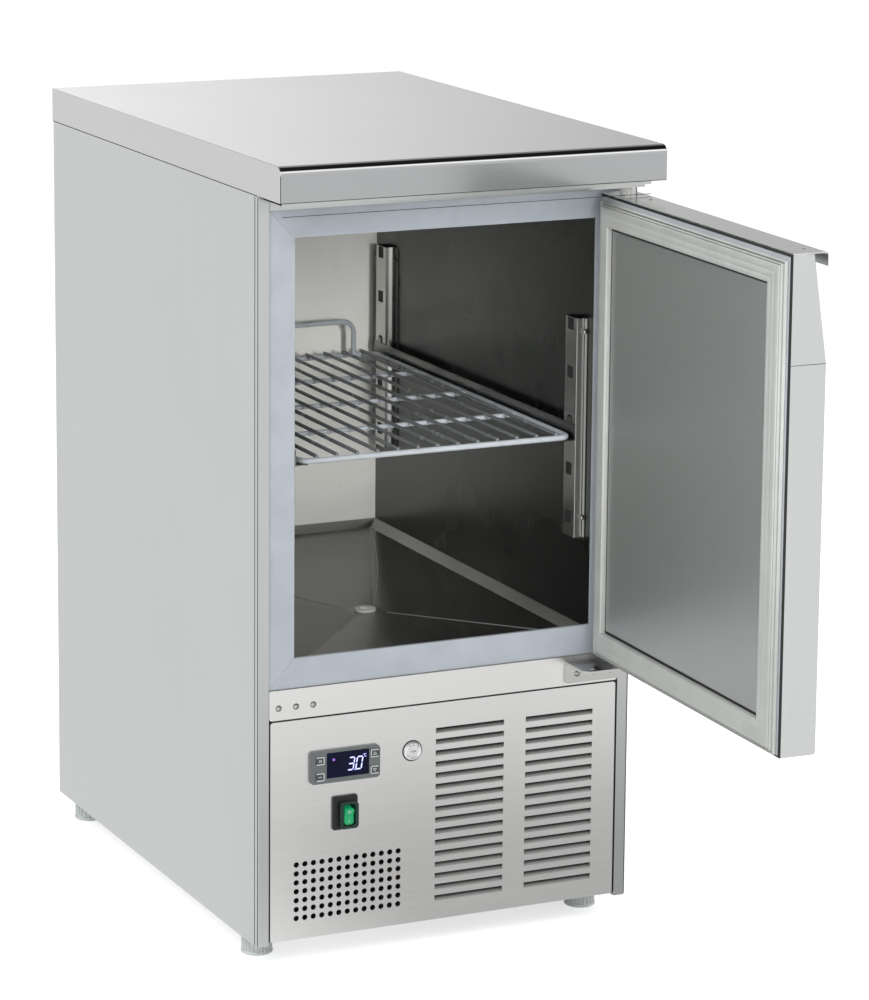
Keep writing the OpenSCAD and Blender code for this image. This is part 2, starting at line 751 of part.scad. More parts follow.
// The switch's body, with the well in which the rocker tips
module switch_housing() {
    a = switch - [switch_w, switch_h] / 2;
    b = switch + [switch_w, switch_h] / 2;
    wall = well + [1.6, 1.6];
    color("black") difference() {
        union() {
            face_y(panel_y - bezel_t, bezel_t - eps) rounded(a, b, 3);
            block([rocker_c[0] - wall[0], panel_y - 1, rocker_c[1] - wall[1]],
                [rocker_c[0] + wall[0], panel_y + 26, rocker_c[1] + wall[1]]);
        }
        block([rocker_c[0] - well[0], panel_y - 8, rocker_c[1] - well[1]],
            [rocker_c[0] + well[0], panel_y + 12, rocker_c[1] + well[1]]);
        translate([rocker_c[0] - 9, rocker_y, rocker_c[1]]) rotate([0, 90, 0])
            cylinder(h = 18, r = rocker_pin_r + fit_gap);
    }
}

// The raised rubber surround of the switch, open over the rocker
module switch_hood() {
    rim = well + [4, 3];
    hole = well + [0.5, 0.5];
    color("black") difference() {
        face_y(panel_y - bezel_t - hood_h, hood_h) rounded(rocker_c - rim, rocker_c + rim, 4);
        face_y(panel_y - bezel_t - hood_h - 1, hood_h + 2)
            rounded(rocker_c - hole, rocker_c + hole, 3);
    }
}

// The green rocker with its cross pin, tipped onto its lower contact
module rocker() {
    w = well[0] - 1.2;
    h = well[1] - 2.4;
    color("limegreen") translate([rocker_c[0], rocker_y, rocker_c[1]]) {
        rotate([rocker_tilt, 0, 0]) intersection() {
            face_y(-12, 16) rounded([-w, -h], [w, h], 3);
            profile_x(-w, w) polygon([[3, -h], [3, h], [-10.2, h], [-8.4, 0], [-10.2, -h]]);
        }
        translate([-well[0] - 1.2, 0, 0]) rotate([0, 90, 0])
            cylinder(h = 2 * well[0] + 2.4, r = rocker_pin_r);
    }
}

// The lock's collar and barrel
module lock_housing() {
    color("silver") translate([lock[0], panel_y, lock[1]]) rotate([-90, 0, 0]) difference() {
        union() {
            translate([0, 0, -3]) cylinder(h = 3, r1 = lock_r - 1.2, r2 = lock_r);
            translate([0, 0, -eps]) cylinder(h = cam_y - 0.8, r = lock_r - 2.1);
        }
        translate([0, 0, -5]) cylinder(h = 30, r = plug_r + fit_gap);
    }
}

// The turning cylinder with its keyhole, and the cam that bears on the transom's lower fold
module lock_cylinder() {
    reach = transom_z0 + 6 - lock[1];
    color("whitesmoke") translate([lock[0], panel_y, lock[1]]) rotate([-90, 0, 0]) {
        difference() {
            translate([0, 0, -2.6]) cylinder(h = cam_y + 4.6, r = plug_r);
            translate([-3.4, -0.7, -4]) cube([6.8, 1.4, 10]);
            translate([0, 0, -4]) cylinder(h = 10, r = 1.5);
        }
        difference() {
            translate([-6, -reach, cam_y]) cube([12, reach, 2]);
            cylinder(h = 30, r = plug_r - 1);
        }
    }
}

// The lower hinge bracket: an angle screwed to the transom, with the hinge pin on its plate
module hinge_bracket_lower() {
    z1 = door_z0 - 6;
    z0 = z1 - 3;
    x0 = screw_x[0] - 14;
    x1 = flange_x - seam;
    y0 = axis[1] - 20;
    color("silver") {
        difference() {
            union() {
                face_y(front_y - 3, 3 - eps) rounded([x0, transom_z0 + 3], [x1, z1], 3);
                translate([0, 0, z0]) linear_extrude(3) polygon([[x0 + 1, front_y - 1],
                    [x0 + 1, y0 + 6], [x0 + 7, y0], [x1 - 3, y0], [x1 + 3, y0 + 6],
                    [x1 + 3, front_y - 4], [x1, front_y - 1]]);
            }
            for (x = screw_x) translate([x, front_y + 1, screw_z]) rotate([90, 0, 0])
                cylinder(h = 6, r = screw_r + 0.1);
            translate([x0 + 14, y0 + 9, z0 - 1]) cylinder(h = 5, r = 3.2);
        }
        translate([axis[0], axis[1], z0]) cylinder(h = 26, r = pin_r);
        translate([axis[0], axis[1], z1 - 1])
            cylinder(h = door_z0 - bush_flange - pass_gap - z1 + 1, r = pin_r + 3);
    }
}

// The upper hinge bracket under the rail, with its pin in the door's upper bush
module hinge_bracket_upper() {
    z0 = rail_z0 - 3;
    color("silver") {
        block([screw_x[0] - 14, axis[1] - 16, z0], [flange_x - seam, front_y, rail_z0]);
        translate([axis[0], axis[1], door_z1 - 14]) cylinder(h = z0 - door_z1 + 15, r = top_pin_r);
    }
}

// The transom's and the hinge bracket's screws
module front_screws() {
    color("gainsboro") for (x = screw_x, s = [-1, 1])
        translate([s * x, s < 0 ? front_y : front_y - 3, screw_z]) rotate([90, 0, 0]) {
            intersection() {
                translate([0, 0, -1.4]) sphere(3.2);
                cylinder(h = 2, r = 3);
            }
            translate([0, 0, s < 0 ? -3 : -6]) cylinder(h = s < 0 ? 3.5 : 6.5, r = screw_r);
        }
}

// Turns what is drawn for the shut door to its open place
module open_door() {
    translate([axis[0], axis[1], 0]) rotate([0, 0, door_open]) translate([-axis[0], -axis[1], 0])
        children();
}

// The door's section in Y and Z, drawn in by t, without the lip
module door_section(t) {
    bend = door_z1 - grip_h;
    top_y = door_y1 - door_top_t;
    polygon([[door_y1 - t, door_z0 + t], [door_y0 + t, door_z0 + t], [door_y0 + t, bend],
        [top_y + t, door_z1 - sheet - t], [door_y1 - t, door_z1 - sheet - t]]);
}

module door_skin() {
    color("lightgray") open_door() difference() {
        profile_x(door_x0, door_x1) door_section(0);
        profile_x(door_x0 + sheet, door_x1 - sheet) door_section(sheet);
        block([door_x0 + sheet, door_y1 - 2 * sheet, door_z0 + sheet],
            [door_x1 - sheet, door_y1 + 1, door_z1 - 2 * sheet]);
        translate([axis[0], axis[1], door_z0 - 1]) cylinder(h = 3, r = bush_r);
        translate([axis[0], axis[1], door_z1 - 3]) cylinder(h = 3, r = top_bush_r);
    }
}

// The folded strip over the door's upper edge, whose lip is the handle
module door_handle_rail() {
    r = 3;
    color("silver") open_door() difference() {
        profile_x(door_x0, door_x1) difference() {
            union() {
                translate([door_y0 + r, door_z1 - sheet]) square([door_t - r, sheet]);
                translate([door_y0 + r, door_z1 - r]) circle(r);
                translate([door_y0, door_z1 - lip_drop]) square([sheet, lip_drop - r]);
            }
            translate([door_y0 + r, door_z1 - r]) circle(r - sheet);
            translate([door_y0 + r, door_z1 - 3 * r]) square([2 * r, 3 * r - sheet]);
            translate([door_y0 + sheet, door_z1 - 3 * r]) square([2 * r, 2 * r]);
        }
        translate([axis[0], axis[1], door_z1 - 3]) cylinder(h = 6, r = top_bush_r);
    }
}

module door_foam() {
    color("khaki") open_door() difference() {
        profile_x(door_x0 + sheet, door_x1 - sheet) intersection() {
            door_section(sheet);
            translate([door_y0, door_z0]) square([door_t - panel_in - sheet, door_h]);
        }
        translate([axis[0], axis[1], door_z0 - 1]) cylinder(h = 30, r = bush_r);
        translate([axis[0], axis[1], door_z1 - 17]) cylinder(h = 20, r = top_bush_r);
    }
}

// The plastic border that holds the inner panel and the gasket; its outer slope clears the
// cabinet when the door swings
module door_frame() {
    z1 = door_z1 - sheet;
    color("lightsteelblue") open_door() difference() {
        union() {
            hull() {
                face_y(door_y1, 0.8) border(door_x0, door_x1, door_z0, z1, 1);
                face_y(door_y1, frame_t) border(door_x0, door_x1, door_z0, z1, 6);
            }
            face_y(door_y1 - panel_in, panel_in + eps) border(door_x0, door_x1, door_z0, z1, 2);
        }
        face_y(door_y1 - panel_in - 1, panel_in + 1)
            border(door_x0, door_x1, door_z0, z1, 5, border_w - 3);
        face_y(door_y1 - panel_in - 1, panel_in + 9)
            border(door_x0, door_x1, door_z0, z1, border_w);
        face_y(door_y1 + frame_t - seat_d, 2)
            border(door_x0, door_x1, door_z0, z1, 9.5, border_w - 4);
    }
}

// The magnetic seal: a broad flange, two fins and the magnet bead
module door_gasket() {
    y0 = door_y1 + frame_t - seat_d;
    y1 = strip_y - pass_gap;
    color("gainsboro") open_door() {
        face_y(y0, 1.6) border(door_x0, door_x1, door_z0, door_z1 - sheet, 10, border_w - 4.5);
        face_y(y0 + 1.5, 1.6) border(door_x0, door_x1, door_z0, door_z1 - sheet, 12, 13.5);
        face_y(y0 + 1.5, y1 - y0 - 2.2)
            border(door_x0, door_x1, door_z0, door_z1 - sheet, 17, border_w - 8);
        face_y(y1 - 0.8, 0.8)
            border(door_x0, door_x1, door_z0, door_z1 - sheet, 18, border_w - 12);
    }
}

module door_inner_panel() {
    color("darkgray") open_door() block([door_x0 + border_w - 12, door_y1 - panel_in - sheet,
        door_z0 + border_w - 12], [door_x1 - border_w + 12, door_y1 - panel_in - eps,
        door_z1 - sheet - border_w + 12]);
}

// The nylon bushes in which the door turns on its two pins
module hinge_bushes() {
    color("whitesmoke") open_door() translate([axis[0], axis[1], 0]) difference() {
        union() {
            translate([0, 0, door_z0 - bush_flange]) cylinder(h = bush_flange, r = bush_r + 2);
            translate([0, 0, door_z0 - 1]) cylinder(h = 26, r = bush_r - 0.1);
            translate([0, 0, door_z1 - 15]) cylinder(h = 16, r = top_bush_r - 0.1);
            translate([0, 0, door_z1]) cylinder(h = rail_z0 - 3 - door_z1 - pass_gap, r = 6.2);
        }
        translate([0, 0, door_z0 - 4]) cylinder(h = 24, r = pin_r + fit_gap);
        translate([0, 0, door_z1 - 16]) cylinder(h = 30, r = top_pin_r + fit_gap);
    }
}

// The hermetic compressor: a drum with a domed lid, a weld flange and its feet plate
module compressor() {
    color("dimgray") translate([comp[0], comp[1], comp_z]) {
        rotate_extrude() {
            difference() {
                union() {
                    square([comp_r, comp_h - 40]);
                    square([comp_r - 26, comp_h]);
                    translate([comp_r - 26, comp_h - 40]) scale([0.65, 1]) circle(40);
                    translate([0, comp_h - 62]) square([comp_r + 4, 4]);
                }
                translate([-200, -100]) square([200, 400]);
            }
        }
        difference() {
            translate([-comp_r - 8, -comp_r - 2, -4]) cube([2 * comp_r + 16, 2 * comp_r + 4, 4.01]);
            for (x = [-1, 1], y = [-1, 1])
                translate([x * (comp_r - 6), y * (comp_r - 12), -6]) cylinder(h = 9, r = 6);
        }
    }
}

module compressor_mounts() {
    color("black") for (x = [-1, 1], y = [-1, 1])
        translate([comp[0] + x * (comp_r - 6), comp[1] + y * (comp_r - 12), tray_z - sheet]) {
            cylinder(h = comp_z - 4 - tray_z + sheet, r = 10);
            cylinder(h = comp_z + 4 - tray_z, r = 5.8);
        }
}

module relay_box() {
    color("darkslategray") block([comp[0] - comp_r - 34, comp[1] - 30, comp_z + comp_h - 130],
        [comp[0] - comp_r - 0.2, comp[1] + 30, comp_z + comp_h - 66]);
}

// The finned condenser coil behind the louvres, between its two end plates
module condenser() {
    pitch = (cond_w - 20) / (fins - 1);
    color("silver") {
        for (i = [0 : fins - 1])
            block([cond_x0 + 10 + i * pitch, cond_y, cond_z],
                [cond_x0 + 10.5 + i * pitch, shroud_y, cond_z + cond_h]);
        for (k = [0, 1], j = [0 : cond_rows - 1])
            rod([cond_x0, cond_row(k, j)[0], cond_row(k, j)[1]],
                [cond_x0 + cond_w, cond_row(k, j)[0], cond_row(k, j)[1]], 4);
        for (x = [cond_x0 + 3, cond_x0 + cond_w - 4.5])
            block([x, cond_y - 1, tray_z - sheet], [x + 1.5, shroud_y + 1, cond_z + cond_h + 4]);
    }
}

// The fan's plate and ring, with four struts to the motor
module fan_shroud() {
    color("black") {
        face_y(shroud_y + 1, 2) difference() {
            translate([cond_x0, tray_z - sheet]) square([cond_w, cond_h + 14]);
            translate([cond_x, fan_z]) circle(fan_r + 5);
        }
        translate([cond_x, shroud_y + 1.5, fan_z]) rotate([-90, 0, 0]) difference() {
            cylinder(h = motor_y - shroud_y, r = fan_r + 6);
            translate([0, 0, -1]) cylinder(h = motor_y - shroud_y + 2, r = fan_r + 4);
        }
        for (a = [45 : 90 : 315]) translate([cond_x, motor_y - 3, fan_z]) rotate([0, a, 0])
            block([20, 0.5, -3], [fan_r + 5, 2.5, 3]);
        translate([cond_x, motor_y - 3, fan_z]) rotate([-90, 0, 0]) difference() {
            cylinder(h = 3, r = 25);
            translate([0, 0, -1]) cylinder(h = 5, r = shaft_r + 3);
        }
    }
}

module fan_motor() {
    color("dimgray") translate([cond_x, motor_y, fan_z]) rotate([-90, 0, 0]) {
        cylinder(h = 42, r = 27);
        translate([0, 0, blade_y - 12 - motor_y]) cylinder(h = motor_y - blade_y + 13, r = shaft_r);
    }
}

// The pressed fan: a hub on the motor's shaft and five pitched blades
module fan_blade() {
    color("lightgray") translate([cond_x, blade_y - 12, fan_z]) rotate([-90, 0, 0]) {
        difference() {
            cylinder(h = 17, r = 14);
            translate([0, 0, -1]) cylinder(h = 20, r = shaft_r + fit_gap);
        }
        for (i = [0 : 4]) rotate([0, 0, i * 72]) translate([11, 0, 8.5]) rotate([24, 0, 0])
            linear_extrude(1.2, center = true) difference() {
                intersection() {
                    translate([-11, 0]) circle(fan_r - 2);
                    translate([0, -17]) square([fan_r, 34]);
                }
                translate([fan_r - 14, -26]) circle(12);
            }
    }
}

// The dryer's copper shell, tapered to the pipe at both ends
module filter_drier() {
    color("peru") translate(drier) rotate([0, 90, 0]) {
        translate([0, 0, -45]) cylinder(h = 15, r1 = pipe_r, r2 = 11);
        translate([0, 0, -30]) cylinder(h = 60, r = 11);
        translate([0, 0, 30]) cylinder(h = 15, r1 = 11, r2 = pipe_r);
    }
}

// Copper lines: discharge to the condenser, liquid line through the dryer, suction line
module refrigerant_pipes() {
    reach = comp_r + 0.05;
    y0 = comp[1] - comp_r - 20;
    y1 = comp[1] + comp_r + 20;
    x0 = cond_x0 - 14;
    x1 = cond_x0 + cond_w;
    hot = cond_row(1, cond_rows - 1);
    cool = cond_row(1, 0);
    z = comp_z + 60;
    color("chocolate") {
        pipe([[comp[0], comp[1] - reach, z], [comp[0], y0, z], [x1 + 12, y0, z],
            [x1 + 12, y0, hot[1]], [x1 + 12, hot[0], hot[1]], [x1, hot[0], hot[1]]], pipe_r);
        pipe([[cond_x0, cool[0], cool[1]], [x0, cool[0], cool[1]], [x0, drier[1], cool[1]],
            [x0, drier[1], drier[2]], drier - [45, 0, 0]], pipe_r);
        pipe([drier + [45, 0, 0], drier + [62, 0, 0], [drier[0] + 62, y1, drier[2]],
            [drier[0] + 62, y1, bay_top]], pipe_r);
        pipe([[comp[0], comp[1] + reach, z], [comp[0], y1, z], [comp[0], y1, bay_top]], pipe_r);
    }
}

// The strain-relief gland in the rear cover through which the mains lead enters
module mains_inlet() {
    color("black") translate([inlet[0], top_d / 2, inlet[1]]) rotate([90, 0, 0]) difference() {
        union() {
            cylinder(h = sheet, r = inlet_r + 4);
            cylinder(h = 12, r = inlet_r - 0.1);
            translate([0, 0, 2 * sheet]) cylinder(h = 6, r = inlet_r + 3, $fn = 6);
        }
        translate([0, 0, -2]) cylinder(h = 20, r = 4);
    }
}

// One levelling foot: a ribbed base on a threaded stud
module foot(i) {
    p = foot_at(i);
    r = foot_d / 2;
    z1 = foot_h - pass_gap;
    rib = 2.4;
    color("slategray") translate([p[0], p[1], 0]) {
        cylinder(h = 4, r = r);
        cylinder(h = z1, r = r - 2);
        translate([0, 0, z1 - 4]) cylinder(h = 4, r = r);
        for (a = [0 : 20 : 340]) rotate([0, 0, a])
            translate([r - 3, -rib / 2, 1]) cube([2.6, rib, z1 - 3]);
        cylinder(h = foot_h + 16, r = stud_r);
    }
}
module foot_front_left() { foot(0); }
module foot_front_right() { foot(1); }
module foot_rear_left() { foot(2); }
module foot_rear_right() { foot(3); }

worktop();
worktop_core();
top_rail();
side_panel_left();
side_panel_right();
rear_panel();
rear_grille();
base_tray();
chamber_bottom();
transom();
opening_strips();
chamber_liner();
floor_pan();
foam_body();
evaporator_coil();
drain_bush();
drain_hose();
drip_tray();
racking_uprights();
upright_screws();
runner_left();
runner_right();
wire_shelf();
service_panel();
controller_housing();
controller_window();
key_defrost();
key_set();
key_up();
key_down();
switch_housing();
switch_hood();
rocker();
lock_housing();
lock_cylinder();
hinge_bracket_lower();
hinge_bracket_upper();
front_screws();
door_skin();
door_handle_rail();
door_foam();
door_frame();
door_gasket();
door_inner_panel();
hinge_bushes();
compressor();
compressor_mounts();
relay_box();
condenser();
fan_shroud();
fan_motor();
fan_blade();
filter_drier();
refrigerant_pipes();
mains_inlet();
foot_front_left();
foot_front_right();
foot_rear_left();
foot_rear_right();
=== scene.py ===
import math
import bmesh
import bpy
from mathutils import Matrix, Vector


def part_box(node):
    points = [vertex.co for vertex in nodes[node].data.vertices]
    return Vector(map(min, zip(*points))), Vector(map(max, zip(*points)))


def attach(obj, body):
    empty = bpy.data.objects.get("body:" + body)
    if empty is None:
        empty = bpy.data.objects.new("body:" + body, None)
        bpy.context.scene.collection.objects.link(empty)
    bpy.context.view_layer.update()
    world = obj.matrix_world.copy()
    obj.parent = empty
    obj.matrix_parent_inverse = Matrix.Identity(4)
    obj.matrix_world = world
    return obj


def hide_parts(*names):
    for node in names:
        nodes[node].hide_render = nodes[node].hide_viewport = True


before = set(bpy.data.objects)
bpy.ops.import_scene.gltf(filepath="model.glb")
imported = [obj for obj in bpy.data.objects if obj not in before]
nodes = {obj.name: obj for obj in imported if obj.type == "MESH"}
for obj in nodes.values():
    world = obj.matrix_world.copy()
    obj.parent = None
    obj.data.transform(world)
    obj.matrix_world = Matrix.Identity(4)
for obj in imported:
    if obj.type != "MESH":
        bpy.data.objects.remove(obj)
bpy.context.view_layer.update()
mm = 0.001

# Camera at the photograph's angle
cameraView = {"place": (-1.7576, -3.9388, 1.4373), "yaw": 0.4426, "pitch": 0.1926,
              "roll": 0.0092, "lens": 144.23, "shiftY": -0.15}


def aimCamera(v):
    cosP = math.cos(v["pitch"])
    forward = Vector((math.sin(v["yaw"]) * cosP, math.cos(v["yaw"]) * cosP,
                      -math.sin(v["pitch"])))
    level = Vector((math.cos(v["yaw"]), -math.sin(v["yaw"]), 0))
    rise = level.cross(forward)
    right = level * math.cos(v["roll"]) + rise * math.sin(v["roll"])
    up = rise * math.cos(v["roll"]) - level * math.sin(v["roll"])
    data = bpy.data.cameras.new("photoCamera")
    data.lens, data.sensor_width, data.shift_y = v["lens"], 36, v["shiftY"]
    data.clip_end = 100
    camera = bpy.data.objects.new("photoCamera", data)
    bpy.context.scene.collection.objects.link(camera)
    turned = Matrix((right, up, -forward)).transposed().to_4x4()
    camera.matrix_world = Matrix.Translation(v["place"]) @ turned
    bpy.context.scene.camera = camera


aimCamera(cameraView)
print("camera set")


# Node trees and groups
def groupTree(name, kind, inputs, outputs):
    tree = bpy.data.node_groups.new(name, kind + "NodeTree")
    for label, socket, value in inputs:
        made = tree.interface.new_socket(name=label, in_out="INPUT",
                                         socket_type="NodeSocket" + socket)
        if value is not None:
            made.default_value = value
    for label, socket in outputs:
        tree.interface.new_socket(name=label, in_out="OUTPUT", socket_type="NodeSocket" + socket)
    return tree, tree.nodes.new("NodeGroupInput"), tree.nodes.new("NodeGroupOutput")


def shaderGroup(name, inputs, outputs):
    return groupTree(name, "Shader", [("Vector", "Vector", (0, 0, 0)), *inputs],
                     [(label, "Float") for label in outputs])


def geometryGroup(name, inputs):
    return groupTree(name, "Geometry",
                     [("Geometry", "Geometry", None), *inputs, ("Finish", "Material", None)],
                     [("Geometry", "Geometry")])


def filled(node, values):
    for key, value in values.items():
        if hasattr(node, key):
            setattr(node, key, value)
        else:
            node.inputs[key.replace("_", " ")].default_value = value
    return node


def link(tree, *pairs):
    for source, target in pairs:
        tree.links.new(source, target)


def addNode(tree, kind, **values):
    return filled(tree.nodes.new("ShaderNode" + kind), values)


def geoNode(tree, kind, **values):
    return filled(tree.nodes.new("GeometryNode" + kind), values)


def mapped(tree, source, low, high, toLow, toHigh):
    node = addNode(tree, "MapRange", clamp=True)
    for k, v in ((1, low), (2, high), (3, toLow), (4, toHigh)):
        node.inputs[k].default_value = v
    tree.links.new(source, node.inputs[0])
    return node.outputs[0]


def math2(tree, operation, a, b):
    node = addNode(tree, "Math", operation=operation)
    for k, v in enumerate((a, b)):
        if isinstance(v, (int, float)):
            node.inputs[k].default_value = v
        else:
            tree.links.new(v, node.inputs[k])
    return node.outputs[0]


# Shader groups that several finishes share
def buildBrushedGrain():
    tree, inp, out = shaderGroup(
        "brushedGrain", [("Stretch", "Vector", (1, 1, 1)), ("Fineness", "Float", 900.0)],
        ["Hairlines", "Bands"])
    scaled = addNode(tree, "VectorMath", operation="MULTIPLY")
    link(tree, (inp.outputs["Vector"], scaled.inputs[0]),
         (inp.outputs["Stretch"], scaled.inputs[1]))
    fine = addNode(tree, "TexNoise", Detail=3.0, Roughness=0.6)
    broad = addNode(tree, "TexNoise", Detail=2.0)
    link(tree, (scaled.outputs[0], fine.inputs["Vector"]),
         (scaled.outputs[0], broad.inputs["Vector"]),
         (inp.outputs["Fineness"], fine.inputs["Scale"]),
         (math2(tree, "MULTIPLY", inp.outputs["Fineness"], 0.06), broad.inputs["Scale"]),
         (mapped(tree, fine.outputs["Fac"], 0.25, 0.75, 0, 1), out.inputs["Hairlines"]),
         (mapped(tree, broad.outputs["Fac"], 0.3, 0.7, 0, 1), out.inputs["Bands"]))
    return tree


def buildHandledPatches():
    tree, inp, out = shaderGroup(
        "handledPatches", [("Scale", "Float", 6.0), ("Cover", "Float", 0.5)], ["Mask"])
    noise = addNode(tree, "TexNoise", Detail=2.5, Distortion=0.5)
    link(tree, (inp.outputs["Vector"], noise.inputs["Vector"]),
         (inp.outputs["Scale"], noise.inputs["Scale"]))
    low = math2(tree, "SUBTRACT", 0.8, inp.outputs["Cover"])
    over = math2(tree, "SUBTRACT", noise.outputs["Fac"], low)
    tree.links.new(mapped(tree, over, 0.0, 0.28, 0, 1), out.inputs["Mask"])
    return tree


def buildMouldedSkin():
    tree, inp, out = shaderGroup("mouldedSkin", [("Scale", "Float", 700.0)],
                                 ["Height", "Mottle"])
    cells = addNode(tree, "TexVoronoi", feature="F1")
    clouds = addNode(tree, "TexNoise", Detail=2.0)
    link(tree, (inp.outputs["Vector"], cells.inputs["Vector"]),
         (inp.outputs["Vector"], clouds.inputs["Vector"]),
         (inp.outputs["Scale"], cells.inputs["Scale"]),
         (math2(tree, "MULTIPLY", inp.outputs["Scale"], 0.04), clouds.inputs["Scale"]),
         (cells.outputs["Distance"], out.inputs["Height"]),
         (mapped(tree, clouds.outputs["Fac"], 0.3, 0.7, 0, 1), out.inputs["Mottle"]))
    return tree


def buildSettledDust():
    tree, inp, out = shaderGroup("settledDust", [("Amount", "Float", 0.2)], ["Mask"])
    facing = addNode(tree, "NewGeometry")
    parts = addNode(tree, "SeparateXYZ")
    tree.links.new(facing.outputs["Normal"], parts.inputs[0])
    upward = mapped(tree, parts.outputs["Z"], 0.3, 1.0, 0, 1)
    noise = addNode(tree, "TexNoise", Scale=40.0, Detail=3.0)
    tree.links.new(inp.outputs["Vector"], noise.inputs["Vector"])
    patchy = math2(tree, "MULTIPLY", upward, mapped(tree, noise.outputs["Fac"], 0.3, 0.7, 0.3, 1))
    tree.links.new(math2(tree, "MULTIPLY", patchy, inp.outputs["Amount"]), out.inputs["Mask"])
    return tree


brushedGrain = buildBrushedGrain()
handledPatches = buildHandledPatches()
mouldedSkin = buildMouldedSkin()
settledDust = buildSettledDust()
print("shader groups built")


def placeGroup(tree, group, vector, **values):
    node = tree.nodes.new("ShaderNodeGroup")
    node.node_tree = group
    tree.links.new(vector, node.inputs["Vector"])
    for key, value in values.items():
        node.inputs[key].default_value = value
    return node


def startFinish(name, metallic=0.0, **sockets):
    material = bpy.data.materials.new(name)
    material.use_nodes = True
    tree = material.node_tree
    shader = tree.nodes["Principled BSDF"]
    shader.inputs["Metallic"].default_value = metallic
    for key, value in sockets.items():
        shader.inputs[key.replace("_", " ")].default_value = value
    coords = addNode(tree, "TexCoord").outputs["Object"]
    return material, tree, shader, coords


def mixColours(tree, mask, a, b):
    node = addNode(tree, "Mix", data_type="RGBA")
    tree.links.new(mask, node.inputs["Factor"])
    for socket, value in (("A", a), ("B", b)):
        target = [s for s in node.inputs if s.name == socket and s.type == "RGBA"][0]
        if isinstance(value, tuple):
            target.default_value = (*value, 1)
        else:
            tree.links.new(value, target)
    return [s for s in node.outputs if s.type == "RGBA"][0]


def shade(colour, factor):
    return tuple(min(1.0, c * factor) for c in colour)


def bumpFrom(tree, height, shader, distance, strength):
    bump = addNode(tree, "Bump", Strength=strength, Distance=distance)
    link(tree, (height, bump.inputs["Height"]), (bump.outputs[0], shader.inputs["Normal"]))


# Zones of another tint along one axis, for a sheet that shows several faces: painted light and
# shade
def zone(axis, start, end, tint, fade=0.98, **more):
    return {"axis": axis, "start": start, "end": end, "tint": tint, "fade": fade, **more}


# Sheet steel, the grain running along one axis. Its zones are painted light and shade: on the
# worktop a painted dark reflection and a painted highlight along its front edge, and darker
# painted reflections on its front face and its ends; on the louvres, painted shade darkening their
# blades inwards; in the chamber, its left and back walls painted paler as light.
worktopEnd = (0.60, 0.61, 0.60)
steelLooks = {
    # The worktop's zones: a painted dark reflection and a painted highlight on the nose, and
    # painted reflections on its face and ends
    "worktopSteel": {"tint": (0.84, 0.84, 0.83), "rough": 0.16, "along": "x", "patch": 0.04,
                     "zones": [zone("Y", -0.3243, -0.3258, (0.03, 0.03, 0.03)),
                               zone("X", 0.2168, 0.2172, worktopEnd),
                               zone("X", -0.2168, -0.2172, worktopEnd),
                               zone("Y", -0.3287, -0.3289, (0.95, 0.95, 0.95)),
                               zone("Y", -0.3293, -0.3297, (0.46, 0.47, 0.475))]},
    "casingSteel": {"tint": (0.62, 0.64, 0.63), "rough": 0.34, "along": "z", "patch": 0.03},
    "panelSteel": {"tint": (0.90, 0.90, 0.88), "rough": 0.30, "along": "x", "patch": 0.03},
    # The louvres' blades darken inwards to black: painted shade
    "louvredSteel": {"tint": (0.88, 0.88, 0.865), "rough": 0.30, "along": "x", "patch": 0.03,
                     "zones": [zone("Y", -0.2666, -0.2664, (0.33, 0.335, 0.32), 0.08,
                                    fadeEnd=-0.2625, metallic=0.25)]},
    # The chamber's dark tint is painted shade; its zones paint the left and back walls paler and
    # duller as light
    "chamberSteel": {"tint": (0.112, 0.12, 0.115), "rough": 0.26, "along": "z", "patch": 0.10,
                     "bump": 0.0, "hair": 0.2,
                     "zones": [zone("X", -0.1735, -0.1739, (0.74, 0.74, 0.71), 0.84,
                                    metallic=0.4),
                               zone("Y", 0.2885, 0.2889, (0.95, 0.94, 0.89), 0.84,
                                    metallic=0.0)]},
    # The drain floor's facets are painted lighter and darker by the way they face: painted light
    # and shade
    "panSteel": {"tint": (0.36, 0.365, 0.35), "rough": 0.20, "along": "y", "patch": 0.10,
                 "bump": 0.12, "facets": (0.95, 0.70), "edge": 0.6},
    "doorSteel": {"tint": (0.70, 0.72, 0.71), "rough": 0.34, "along": "z", "patch": 0.03},
    "gripSteel": {"tint": (0.90, 0.91, 0.90), "rough": 0.18, "along": "x", "patch": 0.03},
    "doorPanelSteel": {"tint": (0.415, 0.435, 0.42), "rough": 0.36, "along": "z", "patch": 0.02,
                       "metallic": 0.6},
    "rackSteel": {"tint": (0.56, 0.56, 0.54), "rough": 0.20, "along": "z", "patch": 0.08},
    "runnerSteel": {"tint": (0.24, 0.24, 0.235), "rough": 0.24, "along": "y", "patch": 0.08},
    "bracketSteel": {"tint": (0.56, 0.56, 0.55), "rough": 0.15, "along": "x", "patch": 0.06},
    "galvanisedSteel": {"tint": (0.52, 0.53, 0.54), "rough": 0.42, "along": "z", "patch": 0.25},
}


